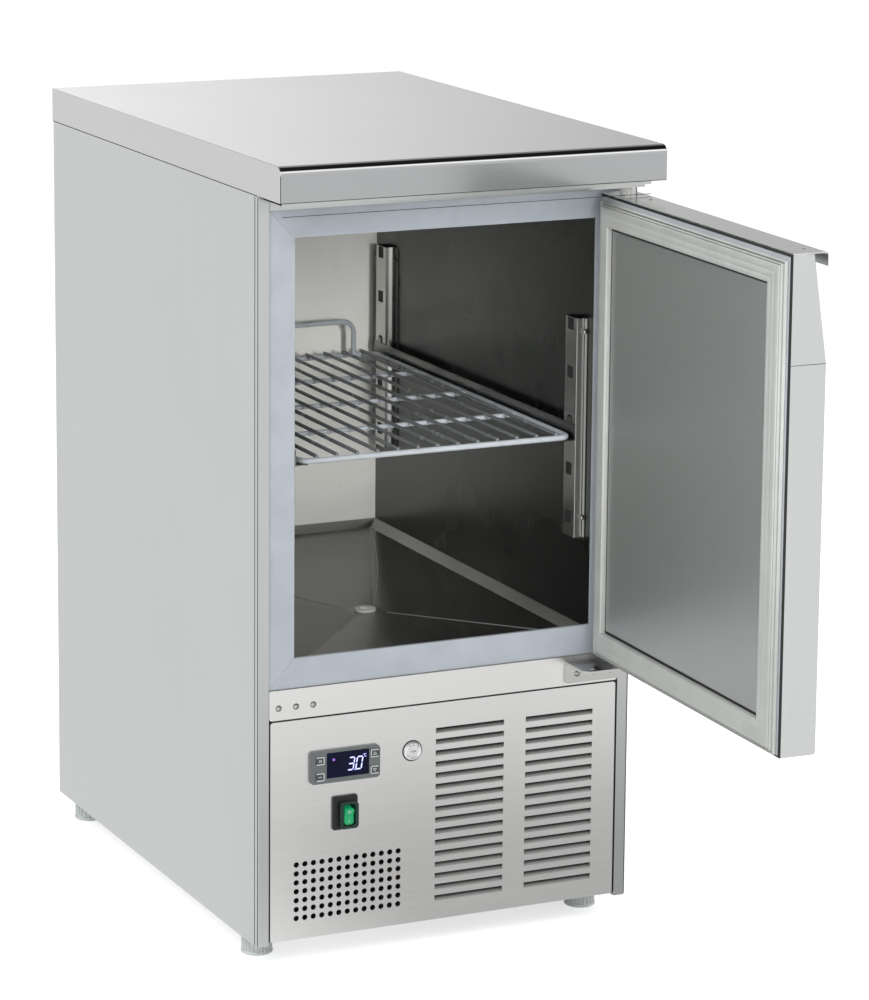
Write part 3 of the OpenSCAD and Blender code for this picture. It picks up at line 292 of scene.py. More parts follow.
def steelFinish(name, tint, rough, along, patch, zones=(), metallic=1.0, bump=0.35, hair=1.0,
                facets=None, edge=1.0):
    material, tree, shader, coords = startFinish(name, metallic)
    shader.inputs["Specular Tint"].default_value = (edge, edge, edge, 1)
    stretch = {"x": (0.02, 1, 1), "y": (1, 0.02, 1), "z": (1, 1, 0.02)}[along]
    grain = placeGroup(tree, brushedGrain, coords, Stretch=stretch, Fineness=1400.0)
    patches = placeGroup(tree, handledPatches, coords, Scale=5.0, Cover=0.35)
    hairlines, mask = grain.outputs["Hairlines"], patches.outputs["Mask"]
    lined = mixColours(tree, hairlines, shade(tint, 1 - 0.035 * hair),
                       shade(tint, 1 + 0.03 * hair))
    banded = mixColours(tree, math2(tree, "MULTIPLY", grain.outputs["Bands"], 0.3), lined,
                        shade(tint, 0.95))
    wearAndPaintedLight = mixColours(tree, math2(tree, "MULTIPLY", mask, patch), banded, shade(tint, 0.8))
    # The drain floor's facets, painted lighter or darker by the side they face as light and shade:
    # one tint where they face left and back, one for right and front
    if facets:
        leftShade, rightShade = facets
        facing = addNode(tree, "SeparateXYZ")
        tree.links.new(addNode(tree, "NewGeometry").outputs["Normal"], facing.inputs[0])
        lean = math2(tree, "SUBTRACT", facing.outputs["X"], facing.outputs["Y"])
        lean = math2(tree, "MULTIPLY", mapped(tree, lean, -0.036, 0.036, -1, 1),
                     mapped(tree, facing.outputs["Z"], 0.97, 0.98, 0, 1))
        wearAndPaintedLight = mixColours(tree, mapped(tree, lean, -1, 0, 0, 1), shade(tint, leftShade), wearAndPaintedLight)
        wearAndPaintedLight = mixColours(tree, mapped(tree, lean, 0, 1, 0, 1), wearAndPaintedLight, shade(tint, rightShade))
    place = addNode(tree, "SeparateXYZ")
    tree.links.new(coords, place.inputs[0])
    levels = []
    # Zones of painted light and shade, some of them also less metallic
    for z in zones:
        source = place.outputs[z["axis"]]
        inside = mapped(tree, source, z["start"], z["end"], 0, 1)
        fade = mapped(tree, source, z["end"], z["fadeEnd"], 0, 1) if "fadeEnd" in z else mask
        wearAndPaintedLight = mixColours(tree, inside, wearAndPaintedLight,
                          mixColours(tree, fade, z["tint"], shade(z["tint"], z["fade"])))
        if "metallic" in z:
            levels.append(mapped(tree, inside, 0, 1, 1.0, z["metallic"]))
    if levels:
        least = levels[0]
        for level in levels[1:]:
            least = math2(tree, "MINIMUM", least, level)
        tree.links.new(least, shader.inputs["Metallic"])
    tree.links.new(wearAndPaintedLight, shader.inputs["Base Color"])
    brushed = mapped(tree, hairlines, 0, 1, rough - 0.04 * hair, rough + 0.05 * hair)
    scuffed = math2(tree, "MULTIPLY", mask, patch * 0.6)
    tree.links.new(math2(tree, "ADD", brushed, scuffed), shader.inputs["Roughness"])
    if bump:
        bumpFrom(tree, hairlines, shader, 0.00004, bump)
    return material


# Plastics, rubber, paint and board: tint, roughness, depth of the moulded skin
softLooks = {
    "framePlastic": ((0.42, 0.455, 0.50), 0.38, 0.08),
    "doorFramePlastic": ((0.36, 0.385, 0.415), 0.36, 0.08),
    "sealRubber": ((0.47, 0.485, 0.465), 0.46, 0.10),
    "foamFill": ((0.80, 0.70, 0.42), 0.9, 0.6),
    "boardFill": ((0.50, 0.36, 0.22), 0.8, 0.5),
    "whiteNylon": ((0.80, 0.80, 0.77), 0.35, 0.05),
    "hosePlastic": ((0.35, 0.36, 0.37), 0.45, 0.1),
    "trayPlastic": ((0.03, 0.03, 0.032), 0.5, 0.3),
    "coatedWire": ((0.46, 0.49, 0.52), 0.30, 0.06),
    "controllerPlastic": ((0.125, 0.14, 0.14), 0.42, 0.2),
    "keyRubber": ((0.060, 0.066, 0.068), 0.45, 0.15),
    "switchPlastic": ((0.012, 0.012, 0.013), 0.30, 0.12),
    "hoodRubber": ((0.006, 0.026, 0.019), 0.24, 0.10),
    "compressorBlack": ((0.012, 0.012, 0.013), 0.32, 0.25),
    "blackRubber": ((0.02, 0.02, 0.02), 0.7, 0.3),
    "footPlastic": ((0.68, 0.71, 0.71), 0.5, 0.2),
    "creaseShine": ((0.50, 0.51, 0.49), 0.30, 0.05),
    "wireShade": ((0.17, 0.185, 0.195), 0.24, 0.06),
    "markPaint": ((0.62, 0.64, 0.65), 0.5, 0.05),
}


def softFinish(name, tint, rough, depth):
    material, tree, shader, coords = startFinish(name)
    skin = placeGroup(tree, mouldedSkin, coords, Scale=900.0)
    dust = placeGroup(tree, settledDust, coords, Amount=0.10)
    mottled = mixColours(tree, skin.outputs["Mottle"], shade(tint, 0.95), shade(tint, 1.05))
    dusty = mixColours(tree, dust.outputs["Mask"], mottled, (0.5, 0.5, 0.48))
    link(tree, (dusty, shader.inputs["Base Color"]),
         (mapped(tree, skin.outputs["Mottle"], 0, 1, rough - 0.04, rough + 0.05),
          shader.inputs["Roughness"]))
    bumpFrom(tree, skin.outputs["Height"], shader, 0.0002, depth)
    return material


# Polished and drawn metals: tint, roughness. Handled patches are darker and duller.
metalLooks = {
    "chromePlate": ((0.95, 0.95, 0.95), 0.07),
    "screwSteel": ((0.58, 0.58, 0.57), 0.07),
    "drawnCopper": ((0.72, 0.36, 0.22), 0.28),
    "finAluminium": ((0.62, 0.63, 0.64), 0.34),
}


def patchedFinish(name, tint, touched, rough, scale, metallic=0.0, **sockets):
    material, tree, shader, coords = startFinish(name, metallic, **sockets)
    mask = placeGroup(tree, handledPatches, coords, Scale=scale, Cover=0.4).outputs["Mask"]
    link(tree, (mixColours(tree, mask, tint, touched), shader.inputs["Base Color"]),
         (mapped(tree, mask, 0, 1, rough, rough + 0.08), shader.inputs["Roughness"]))
    return material


# Things that give light: two tints mixed by one output of a group
def glowFinish(name, tint, other, rough, strength, group, output, **values):
    material, tree, shader, coords = startFinish(name, Roughness=rough, Emission_Strength=strength)
    mask = placeGroup(tree, group, coords, **values).outputs[output]
    glow = mixColours(tree, mask, tint, other)
    link(tree, (glow, shader.inputs["Base Color"]), (glow, shader.inputs["Emission Color"]))
    return material


displayGlows = {"digitGlow": ((0.50, 0.53, 1.0), 1.15), "starGlow": ((0.30, 0.14, 0.62), 0.9)}
finishes = {name: steelFinish(name, **look) for name, look in steelLooks.items()}
finishes |= {name: softFinish(name, *look) for name, look in softLooks.items()}
finishes |= {name: patchedFinish(name, tint, shade(tint, 0.86), rough, 90.0, 1.0)
             for name, (tint, rough) in metalLooks.items()}
finishes["smokedWindow"] = patchedFinish("smokedWindow", (0.004, 0.005, 0.02),
                                         (0.006, 0.008, 0.03), 0.12, 60.0,
                                         Specular_IOR_Level=0.12)
finishes["lampGreen"] = glowFinish("lampGreen", (0.004, 0.21, 0.075), (0.008, 0.27, 0.10), 0.22,
                                   0.55, mouldedSkin, "Mottle", Scale=500.0)
finishes |= {name: glowFinish(name, tint, shade(tint, 0.85), 0.4, strength, handledPatches,
                              "Mask", Scale=400.0, Cover=0.4)
             for name, (tint, strength) in displayGlows.items()}

nodesOfFinish = {
    "worktopSteel": "worktop",
    "boardFill": "worktop_core",
    "casingSteel": "top_rail side_panel_left side_panel_right",
    "galvanisedSteel": "rear_panel rear_grille base_tray chamber_bottom",
    "panelSteel": "transom",
    "framePlastic": "opening_strips",
    "chamberSteel": "chamber_liner",
    "panSteel": "floor_pan",
    "foamFill": "foam_body door_foam",
    "drawnCopper": "evaporator_coil filter_drier refrigerant_pipes",
    "whiteNylon": "drain_bush hinge_bushes",
    "hosePlastic": "drain_hose",
    "trayPlastic": "drip_tray relay_box fan_shroud mains_inlet",
    "rackSteel": "racking_uprights",
    "screwSteel": "upright_screws front_screws",
    "runnerSteel": "runner_left runner_right",
    "coatedWire": "wire_shelf",
    "louvredSteel": "service_panel",
    "controllerPlastic": "controller_housing",
    "smokedWindow": "controller_window",
    "keyRubber": "key_defrost key_set key_up key_down",
    "switchPlastic": "switch_housing",
    "hoodRubber": "switch_hood",
    "lampGreen": "rocker",
    "chromePlate": "lock_housing lock_cylinder",
    "bracketSteel": "hinge_bracket_lower hinge_bracket_upper",
    "doorSteel": "door_skin door_handle_rail",
    "doorFramePlastic": "door_frame",
    "sealRubber": "door_gasket",
    "doorPanelSteel": "door_inner_panel",
    "compressorBlack": "compressor fan_motor",
    "blackRubber": "compressor_mounts",
    "finAluminium": "condenser fan_blade",
    "footPlastic": "foot_front_left foot_front_right foot_rear_left foot_rear_right",
}
for finishName, dressedNodes in nodesOfFinish.items():
    for nodeName in dressedNodes.split():
        materials = nodes[nodeName].data.materials
        materials.clear()
        materials.append(finishes[finishName])
print("nodes given their finishes")


# The door as it stands open, its sizes given as it would stand shut
doorPlan = {"x0": -0.2035, "x1": 0.2085, "face": -0.276, "z0": 0.3005,
            "z1": 0.799, "axis": (0.189, -0.294), "opened": 88.6, "bend": 0.691}


def swung(point, degrees):
    x, y, z = point
    ax, ay = doorPlan["axis"]
    cosA, sinA = math.cos(math.radians(degrees)), math.sin(math.radians(degrees))
    dx, dy = x - ax, y - ay
    return (ax + dx * cosA - dy * sinA, ay + dx * sinA + dy * cosA, z)


def turnedOpen(point):
    return swung(point, doorPlan["opened"])


# Helpers that make and place pieces
def linked(name, data):
    piece = bpy.data.objects.new(name, data)
    bpy.context.scene.collection.objects.link(piece)
    return piece


def dress(piece, body, finish, slot, replaced=()):
    piece.data.materials.clear()
    piece.data.materials.append(finishes[finish])
    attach(piece, body)
    if replaced:
        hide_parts(*replaced)


# Makes a piece of one mesh or of several joined ones
def settle(name, mesh, *wearing):
    dress(linked(name, joined(name, mesh) if isinstance(mesh, list) else mesh), *wearing)


def meshFrom(name, points, faces, smooth=False, place=None):
    mesh = bpy.data.meshes.new(name)
    mesh.from_pydata([place(p) if place else p for p in points], [], faces)
    bm = bmesh.new()
    bm.from_mesh(mesh)
    bmesh.ops.remove_doubles(bm, verts=bm.verts, dist=1e-6)
    bmesh.ops.recalc_face_normals(bm, faces=bm.faces)
    for face in bm.faces:
        face.smooth = smooth
    bm.to_mesh(mesh)
    bm.free()
    return mesh


def keepSharp(mesh, degrees=35):
    mesh.set_sharp_from_angle(angle=math.radians(degrees))


# Faces of a solid with six sides, whose corners run through x, then y, then z
boxFaces = [(0, 1, 3, 2), (4, 6, 7, 5), (0, 4, 5, 1), (2, 3, 7, 6), (0, 2, 6, 4), (1, 5, 7, 3)]


def block(name, xs, ys, zs, place=None):
    return meshFrom(name, [(x, y, z) for x in xs for y in ys for z in zs], boxFaces, False, place)


# A copy of a CAD node whose hard edges are eased
def easedCopy(nodeName, pieceName, body, finish, slot, width, segments, chosen=None):
    mesh = nodes[nodeName].data.copy()
    bm = bmesh.new()
    bm.from_mesh(mesh)
    bmesh.ops.remove_doubles(bm, verts=bm.verts, dist=2e-6)
    bmesh.ops.dissolve_limit(bm, angle_limit=math.radians(0.4), verts=bm.verts, edges=bm.edges)
    weight = bm.edges.layers.float.new("bevel_weight_edge")
    for edge in bm.edges:
        if len(edge.link_faces) == 2 and edge.calc_face_angle(0) > math.radians(32):
            edge[weight] = float(chosen(edge)) if chosen else 1.0
    for face in bm.faces:
        face.smooth = True
    bm.to_mesh(mesh)
    bm.free()
    mesh.name = pieceName
    piece = linked(pieceName, mesh)
    bevel = piece.modifiers.new("easedEdges", "BEVEL")
    bevel.limit_method, bevel.width, bevel.segments = "WEIGHT", width, segments
    keepSharp(mesh)
    weighted = piece.modifiers.new("flatFaces", "WEIGHTED_NORMAL")
    weighted.keep_sharp = True
    dress(piece, body, finish, slot, [nodeName])


# Geometry Nodes trees
def endTree(tree, geometry, inp, out):
    real = geoNode(tree, "RealizeInstances")
    dressed = geoNode(tree, "SetMaterial")
    link(tree, (geometry, real.inputs[0]), (real.outputs[0], dressed.inputs["Geometry"]),
         (inp.outputs["Finish"], dressed.inputs["Material"]), (dressed.outputs[0], out.inputs[0]))


# Runs a tree on a carrier mesh and returns the plain mesh that comes out
def grown(name, tree, carrier, **inputs):
    holder = linked(name + "Carrier", carrier)
    growth = holder.modifiers.new("growth", "NODES")
    growth.node_group = tree
    byName = {s.name: s.identifier for s in tree.interface.items_tree
              if s.item_type == "SOCKET" and s.in_out == "INPUT"}
    for key, value in inputs.items():
        growth[byName[key]] = value
    shape = holder.evaluated_get(bpy.context.evaluated_depsgraph_get())
    mesh = bpy.data.meshes.new_from_object(shape)
    mesh.name = name
    holder.modifiers.remove(growth)
    bpy.data.objects.remove(holder)
    return mesh


def pathMesh(name, runs):
    points, edges = [], []
    for run, closed in runs:
        first = len(points)
        points += run
        edges += [(first + i, first + i + 1) for i in range(len(run) - 1)]
        if closed:
            edges.append((len(points) - 1, first))
    mesh = bpy.data.meshes.new(name)
    mesh.from_pydata(points, edges, [])
    return mesh


def joined(name, meshes, place=None):
    bm = bmesh.new()
    for mesh in meshes:
        bm.from_mesh(mesh)
    if place:
        for vert in bm.verts:
            vert.co = Vector(place(vert.co))
    mesh = bpy.data.meshes.new(name)
    bm.to_mesh(mesh)
    bm.free()
    return mesh


def buildBentWire():
    tree, inp, out = geometryGroup("bentWire", [
        ("Radius", "Float", 0.003), ("Bend", "Float", 0.012), ("Sides", "Int", 16)])
    curve = geoNode(tree, "MeshToCurve")
    fillet = geoNode(tree, "FilletCurve", mode="POLY", Count=8)
    ring = geoNode(tree, "CurvePrimitiveCircle")
    tube = geoNode(tree, "CurveToMesh", Fill_Caps=True)
    link(tree, (inp.outputs["Geometry"], curve.inputs[0]),
         (curve.outputs[0], fillet.inputs["Curve"]),
         (inp.outputs["Bend"], fillet.inputs["Radius"]),
         (inp.outputs["Sides"], ring.inputs["Resolution"]),
         (inp.outputs["Radius"], ring.inputs["Radius"]), (fillet.outputs[0], tube.inputs["Curve"]),
         (ring.outputs[0], tube.inputs["Profile Curve"]))
    endTree(tree, tube.outputs[0], inp, out)
    return tree


# Copies a small mesh to every point of the carrier, each turned by a seeded angle
def buildSetOnPoints():
    tree, inp, out = geometryGroup("setOnPoints", [
        ("Part", "Object", None), ("Turn", "Vector", (0, 0, 0)), ("Spin", "Float", 0.0),
        ("Seed", "Int", 3)])
    part = geoNode(tree, "ObjectInfo", transform_space="ORIGINAL")
    points = geoNode(tree, "MeshToPoints")
    places = geoNode(tree, "InstanceOnPoints")
    spin = tree.nodes.new("FunctionNodeRandomValue")
    spin.data_type = "FLOAT"
    axis = addNode(tree, "CombineXYZ")
    turn = geoNode(tree, "RotateInstances")
    link(tree, (inp.outputs["Geometry"], points.inputs[0]), (inp.outputs["Part"], part.inputs[0]),
         (points.outputs[0], places.inputs["Points"]),
         (part.outputs["Geometry"], places.inputs["Instance"]),
         (inp.outputs["Turn"], places.inputs["Rotation"]))
    most = [s for s in spin.inputs if s.type == "VALUE" and s.name == "Max"][0]
    link(tree, (inp.outputs["Spin"], most), (inp.outputs["Seed"], spin.inputs["Seed"]),
         ([s for s in spin.outputs if s.type == "VALUE"][0], axis.inputs["Z"]),
         (places.outputs[0], turn.inputs["Instances"]), (axis.outputs[0], turn.inputs["Rotation"]))
    endTree(tree, turn.outputs[0], inp, out)
    return tree


# Repeats a small mesh round a vertical axis
def buildRibRing():
    tree, inp, out = geometryGroup("ribRing", [("Part", "Object", None), ("Ribs", "Int", 24)])
    part = geoNode(tree, "ObjectInfo", transform_space="ORIGINAL")
    row = geoNode(tree, "MeshLine", Offset=(0, 0, 0))
    places = geoNode(tree, "InstanceOnPoints")
    share = math2(tree, "DIVIDE", 2 * math.pi, inp.outputs["Ribs"])
    angle = math2(tree, "MULTIPLY", share, geoNode(tree, "InputIndex").outputs[0])
    axis = addNode(tree, "CombineXYZ")
    link(tree, (inp.outputs["Part"], part.inputs[0]), (inp.outputs["Ribs"], row.inputs["Count"]),
         (angle, axis.inputs["Z"]), (row.outputs[0], places.inputs["Points"]),
         (part.outputs["Geometry"], places.inputs["Instance"]),
         (axis.outputs[0], places.inputs["Rotation"]))
    endTree(tree, places.outputs[0], inp, out)
    return tree


bentWire = buildBentWire()
setOnPoints = buildSetOnPoints()
ribRing = buildRibRing()
print("geometry trees built")


# Tubes with bent corners, along runs that are each (points, closed)
def tubes(name, runs, radius, bend, sides, finish="coatedWire"):
    return grown(name, bentWire, pathMesh(name + "Path", runs), Radius=radius, Bend=bend,
                 Sides=sides, Finish=finishes[finish])


def studded(name, part, spots, finish, **values):
    return grown(name, setOnPoints, pathMesh(name + "Spots", [([p], False) for p in spots]),
                 Part=part, Finish=finishes[finish], **values)


# A closed section in (inset, height), swept round a rectangle with mitred corners
def mitredRing(name, section, x0, x1, z0, z1, y0, place=None, reach=None):
    points, faces = [], []
    inset = reach or (lambda side, value: value)
    for sx, sz in ((0, 0), (1, 0), (1, 1), (0, 1)):
        for value, height in section:
            x = x1 - inset("x1", value) if sx else x0 + inset("x0", value)
            z = z1 - inset("z1", value) if sz else z0 + inset("z0", value)
            points.append((x, y0 + height, z))
    count = len(section)
    for c in range(4):
        d = (c + 1) % 4
        for i in range(count):
            j = (i + 1) % count
            faces.append((c * count + i, c * count + j, d * count + j, d * count + i))
    mesh = meshFrom(name, points, faces, True, place)
    keepSharp(mesh, 28)
    return mesh


# A solid of revolution about the local Z axis, from a section in (radius, height)
def turnedPart(name, section, sides, place=None):
    points, faces = [], []
    for k in range(sides):
        a = 2 * math.pi * k / sides
        points += [(r * math.cos(a), r * math.sin(a), z) for r, z in section]
    count = len(section)
    for k in range(sides):
        m = (k + 1) % sides
        for i in range(count - 1):
            faces.append((k * count + i, m * count + i, m * count + i + 1, k * count + i + 1))
    mesh = meshFrom(name, points, faces, True, place)
    keepSharp(mesh, 30)
    return mesh


# A straight mark from a to b, in (x, z), raised a little from the plane y towards the front
def stroke(a, b, width, y, thick, place=None):
    a, b = Vector(a), Vector(b)
    side = Vector((a.y - b.y, b.x - a.x)).normalized() * width / 2
    corners = (a - side, a + side, b - side, b + side)
    points = [(c.x, y - lift, c.y) for lift in (0, thick) for c in corners]
    return meshFrom("stroke", points, boxFaces, False, place)


# Wire shelf
shelfPlan = {"middle": -0.002, "half": 0.1576, "y": (-0.248, 0.261), "z": 0.534, "frameR": 0.003,
             "crossR": 0.0025, "longR": 0.002, "longWires": 13, "crossBars": 3, "bend": 0.012,
             "stopHigh": 0.040, "stopIn": 0.026, "stopBend": 0.014, "inset": 0.0165,
             "sunk": 0.0006, "past": 0.001, "frameSides": 20, "crossSides": 16, "longSides": 12,
             "beadSides": 10, "beadSpin": 3.0,
             "bead": [(0, -0.0034), (0.0026, -0.0022), (0.0036, 0), (0.0028, 0.0016),
                      (0.0012, 0.0026), (0, 0.0028)]}


def layShelf(s):
    mid, frameR = s["middle"], s["frameR"]
    x, y0, y1, z = s["half"] - frameR, s["y"][0] + frameR, s["y"][1] - frameR, s["z"]
    rim = [(mid - x, y0, z), (mid + x, y0, z), (mid + x, y1, z), (mid - x, y1, z)]
    stopX, top = x - s["stopIn"], z + s["stopHigh"]
    stop = [(mid - stopX, y1, z), (mid - stopX, y1, top), (mid + stopX, y1, top),
            (mid + stopX, y1, z)]
    rows = [y0 + k * (y1 - y0) / (s["crossBars"] + 1) for k in range(1, s["crossBars"] + 1)]
    cross = [([(mid - x, y, z), (mid + x, y, z)], False) for y in rows]
    wires = [tubes("shelfRim", [(rim, True)], frameR, s["bend"], s["frameSides"]),
             tubes("shelfStop", [(stop, False)], frameR, s["stopBend"], s["frameSides"]),
             tubes("shelfCross", cross, s["crossR"], 0.0, s["crossSides"])]
    first = s["inset"] - x
    step = -2 * first / (s["longWires"] - 1)
    over = z + frameR + s["longR"] - s["sunk"]
    longXs = [mid + first + i * step for i in range(s["longWires"])]
    longs = [([(lx, y0 - s["past"], over), (lx, y1 + s["past"], over)], False) for lx in longXs]
    # The long wires wear a darker copy of the coating: painted shade
    upper = tubes("shelfLong", longs, s["longR"], 0.0, s["longSides"], "wireShade")
    settle("shelfLongWires", upper, "shelf", "wireShade", "coated_wire")
    # The coating thickens where wires cross
    bead = linked("coatingBead", turnedPart("coatingBead", s["bead"], s["beadSides"]))
    crossings = [(lx, y, z) for lx in longXs for y in [y0, *rows, y1]]
    wires.append(studded("shelfBeads", bead, crossings, "coatedWire", Spin=s["beadSpin"]))
    bpy.data.objects.remove(bead)
    settle("wireShelf", wires, "shelf", "coatedWire", "coated_wire", ["wire_shelf"])


layShelf(shelfPlan)
print("shelf laid")


# The floor pan's creases, from the drain to its corners, on the CAD's folds, as raised strips
# whose paler colour is a painted highlight
creasePlan = {"drain": (0.002, -0.054), "reach": 0.018, "low": 0.3142, "high": 0.3192,
              "corners": {(-1, -1): 0.0, (1, -1): 0.0, (1, 1): 0.007, (-1, 1): -0.003},
              "x": (-0.162, 0.158), "y": (-0.249, 0.278), "width": 0.0011, "proud": 0.00025,
              "steps": 12, "tip": 0.35, "swell": (0.15, 0.85)}


def creasePan(s):
    meshes = []
    dx, dy = s["drain"]
    steps, tip, (swellA, swellB) = s["steps"], s["tip"], s["swell"]
    rise = Vector((0, 0, s["proud"]))
    for (sx, sy), bow in s["corners"].items():
        a = Vector((dx + sx * s["reach"], dy + sy * s["reach"], s["low"]))
        b = Vector((s["x"][(sx + 1) // 2], s["y"][(sy + 1) // 2], s["high"]))
        along = (b - a).normalized()
        side = Vector((along.y, -along.x, 0)).normalized()
        points, faces = [], []
        for k in range(steps + 1):
            t = k / steps
            mid = a.lerp(b, t) + side * (bow * 4 * t * (1 - t))
            swell = math.sin(math.pi * (swellA + (swellB - swellA) * t))
            half = side * (s["width"] / 2 * (tip + (1 - tip) * swell))
            points += [mid - half, mid + rise, mid + half, mid - rise]
            if k:
                i = 4 * k
                faces += [(i - 4 + j, i - 4 + (j + 1) % 4, i + (j + 1) % 4, i + j)
                          for j in range(4)]
        faces += [(0, 1, 2, 3), tuple(4 * steps + j for j in (3, 2, 1, 0))]
        meshes.append(meshFrom("panCrease", points, faces, True))
    settle("panCreases", meshes, "cabinet", "creaseShine", "chamber_steel")


creasePan(creasePlan)


# Door seal and border: a section drawn in millimetres, with its own widths on each side
sealPlan = {
    "section": [(9.5, 3.42), (9.5, 4.2), (10.0, 5.6), (11.1, 6.4), (12.2, 6.1), (12.8, 5.0),
                (13.2, 4.2), (13.9, 4.0), (14.2, 5.4), (14.8, 7.6), (15.8, 8.4), (16.6, 7.8),
                (16.9, 6.2), (17.3, 6.2), (17.6, 8.6), (18.3, 9.4), (19.6, 9.7), (25.4, 9.7),
                (25.9, 9.5), (26.4, 9.7), (32.8, 9.7), (33.3, 9.5), (33.8, 9.7), (38.9, 9.7),
                (39.9, 9.3), (40.4, 8.4), (40.5, 7.2), (40.5, 3.42)],
    "drawn": (9.5, 17.6, 40.5),
    "sides": {"x0": (4.0, 10.6, 34.4), "x1": (8.5, 15.0, 31.6), "z0": (3.4, 8.4, 32.0),
              "z1": (6.2, 11.2, 31.2)},
    "seam": [(39.5, 3.44), (45.5, 3.44), (45.5, 3.56), (39.5, 3.56)],
    "gap": [(0.15, -0.3), (0.15, 0.72), (1.0, 1.02), (2.3, 1.7), (2.3, 1.2), (1.0, 0.6)],
    "foot": 43.6, "low": 3.0, "high": 4.7, "round": 1.2, "sheet": 0.9,
}


# The inset that an inset of the drawn section becomes on one side of the door
def sealReach(side, value):
    drawn, real = sealPlan["drawn"], sealPlan["sides"][side]
    value /= mm
    if value <= drawn[0]:
        return (value - drawn[0] + real[0]) * mm
    if value >= drawn[2]:
        return (value - drawn[2] + real[2]) * mm
    k = 0 if value < drawn[1] else 1
    part = (value - drawn[k]) / (drawn[k + 1] - drawn[k])
    return (real[k] + part * (real[k + 1] - real[k])) * mm


def doorRing(name, section, reach=sealReach):
    d = doorPlan
    return mitredRing(name, [(a * mm, b * mm) for a, b in section], d["x0"], d["x1"], d["z0"],
                      d["z1"], d["face"], turnedOpen, reach)


def sealDoor(s):
    settle("doorSeal", doorRing("doorSeal", s["section"]), "door", "sealRubber", "seal_rubber",
           ["door_gasket"])
    # Black rings of painted shade in the gaps at the seal's inner edge and along the skin's edge
    settle("doorSeams", [doorRing("sealSeam", s["seam"]), doorRing("skinSeam", s["gap"], None)],
           "door", "blackRubber", "seal_rubber")
    # The inner sheet, pressed outwards inside the border
    turn, foot = s["round"], s["foot"]
    levels = (s["high"], s["high"] - s["sheet"])
    face = [(foot, s["low"])]
    face += [(foot + turn * (1 - math.cos(a)), s["high"] - turn + turn * math.sin(a))
             for a in (0.0, 0.4, 0.8, 1.2, math.pi / 2)]
    back = [(foot + turn, levels[1]), (foot + s["sheet"], s["low"])]
    d, inner = doorPlan, (foot + turn) * mm
    xs = (d["x0"] + sealReach("x0", inner), d["x1"] - sealReach("x1", inner))
    zs = (d["z0"] + sealReach("z0", inner), d["z1"] - sealReach("z1", inner))
    field = block("innerSheetField", xs, [d["face"] + y * mm for y in levels], zs, turnedOpen)
    settle("innerSheet", [doorRing("innerSheetEdge", face + back), field], "door",
           "doorPanelSteel", "chamber_steel", ["door_inner_panel"])


sealDoor(sealPlan)
print("seal fitted")


# Marks on the controller, all generic: its middle in (x, z), the digits' strokes in shares of
# their pitch, and the small strokes beside them in (x, height over the middle)
panelPlan = {
    "at": (-0.1175, 0.2125), "y": -0.27122, "thick": 0.00012,
    "digits": ((-0.111, "abgcd"), (-0.1018, "abcdef")), "rise": 0.0007, "pitch": (0.0062, 0.0066),
    "slant": 0.16, "width": 0.0013,
    "strokes": {"a": ((-0.4, 1), (0.4, 1)), "b": ((0.5, 0.9), (0.5, 0.1)),
                "c": ((0.5, -0.1), (0.5, -0.9)), "d": ((-0.4, -1), (0.4, -1)),
                "e": ((-0.5, -0.1), (-0.5, -0.9)), "f": ((-0.5, 0.9), (-0.5, 0.1)),
                "g": ((-0.4, 0), (0.4, 0))},
    "small": [((-0.1074, -0.0062), (-0.1062, -0.0062), 0.0012),
              ((-0.0957, 0.0068), (-0.0937, 0.0068), 0.0005),
              ((-0.0957, 0.0096), (-0.0937, 0.0096), 0.0005),
              ((-0.0957, 0.0068), (-0.0957, 0.0096), 0.0005),
              ((-0.0975, 0.0094), (-0.0969, 0.0094), 0.0007)],
    "star": (-0.131, 0.0072), "starReach": 0.0016, "starWidth": 0.0006,
}


def controllerMarks(p):
    height, (wide, tall) = p["at"][1], p["pitch"]

    def lit(a, b, width):
        return stroke((a[0], height + a[1]), (b[0], height + b[1]), width, p["y"], p["thick"])

    figures = []
    for x, letters in p["digits"]:
        for letter in letters:
            ends = [(x + u * wide + p["slant"] * v * tall, p["rise"] + v * tall)
                    for u, v in p["strokes"][letter]]
            figures.append(lit(*ends, p["width"]))
    figures += [lit(*mark) for mark in p["small"]]
    settle("litDigits", figures, "cabinet", "digitGlow", "window_plastic")
    starX, starZ = p["star"]
    star = []
    for degrees in (90, 150, 210):
        a = math.radians(degrees)
        dx, dz = p["starReach"] * math.cos(a), p["starReach"] * math.sin(a)
        star.append(lit((starX - dx, starZ - dz), (starX + dx, starZ + dz), p["starWidth"]))
    settle("litStar", star, "cabinet", "starGlow", "window_plastic")


controllerMarks(panelPlan)


# Key outlines and signs, which ride on the keys, in millimetres from the controller's middle
keyPlan = {
    "y": -0.2721, "thick": 0.0001, "half": (4.3, 3.8), "rim": 1.0,
    "signs": {"drop": [((x, 1.3), (x, -1.3), 0.5) for x in (-1.2, 0, 1.2)],
              "dash": [((-1.8, 0), (1.8, 0), 0.6)],
              "up": [((0, 1.7), (2, -1.4), 0.5), ((2, -1.4), (-2, -1.4), 0.5),
                     ((-2, -1.4), (0, 1.7), 0.5)],
              "down": [((0, -1.7), (2, 1.4), 0.5), ((2, 1.4), (-2, 1.4), 0.5),
                       ((-2, 1.4), (0, -1.7), 0.5)]},
    "keys": {"key_defrost": ("defrost_key", (-29, 7.5), 1, "drop"),
             "key_set": ("set_key", (-29, -10), 1, "dash"),
             "key_up": ("up_key", (33.2, 9), -1, "up"),
             "key_down": ("down_key", (33.2, -9), -1, "down")},
}


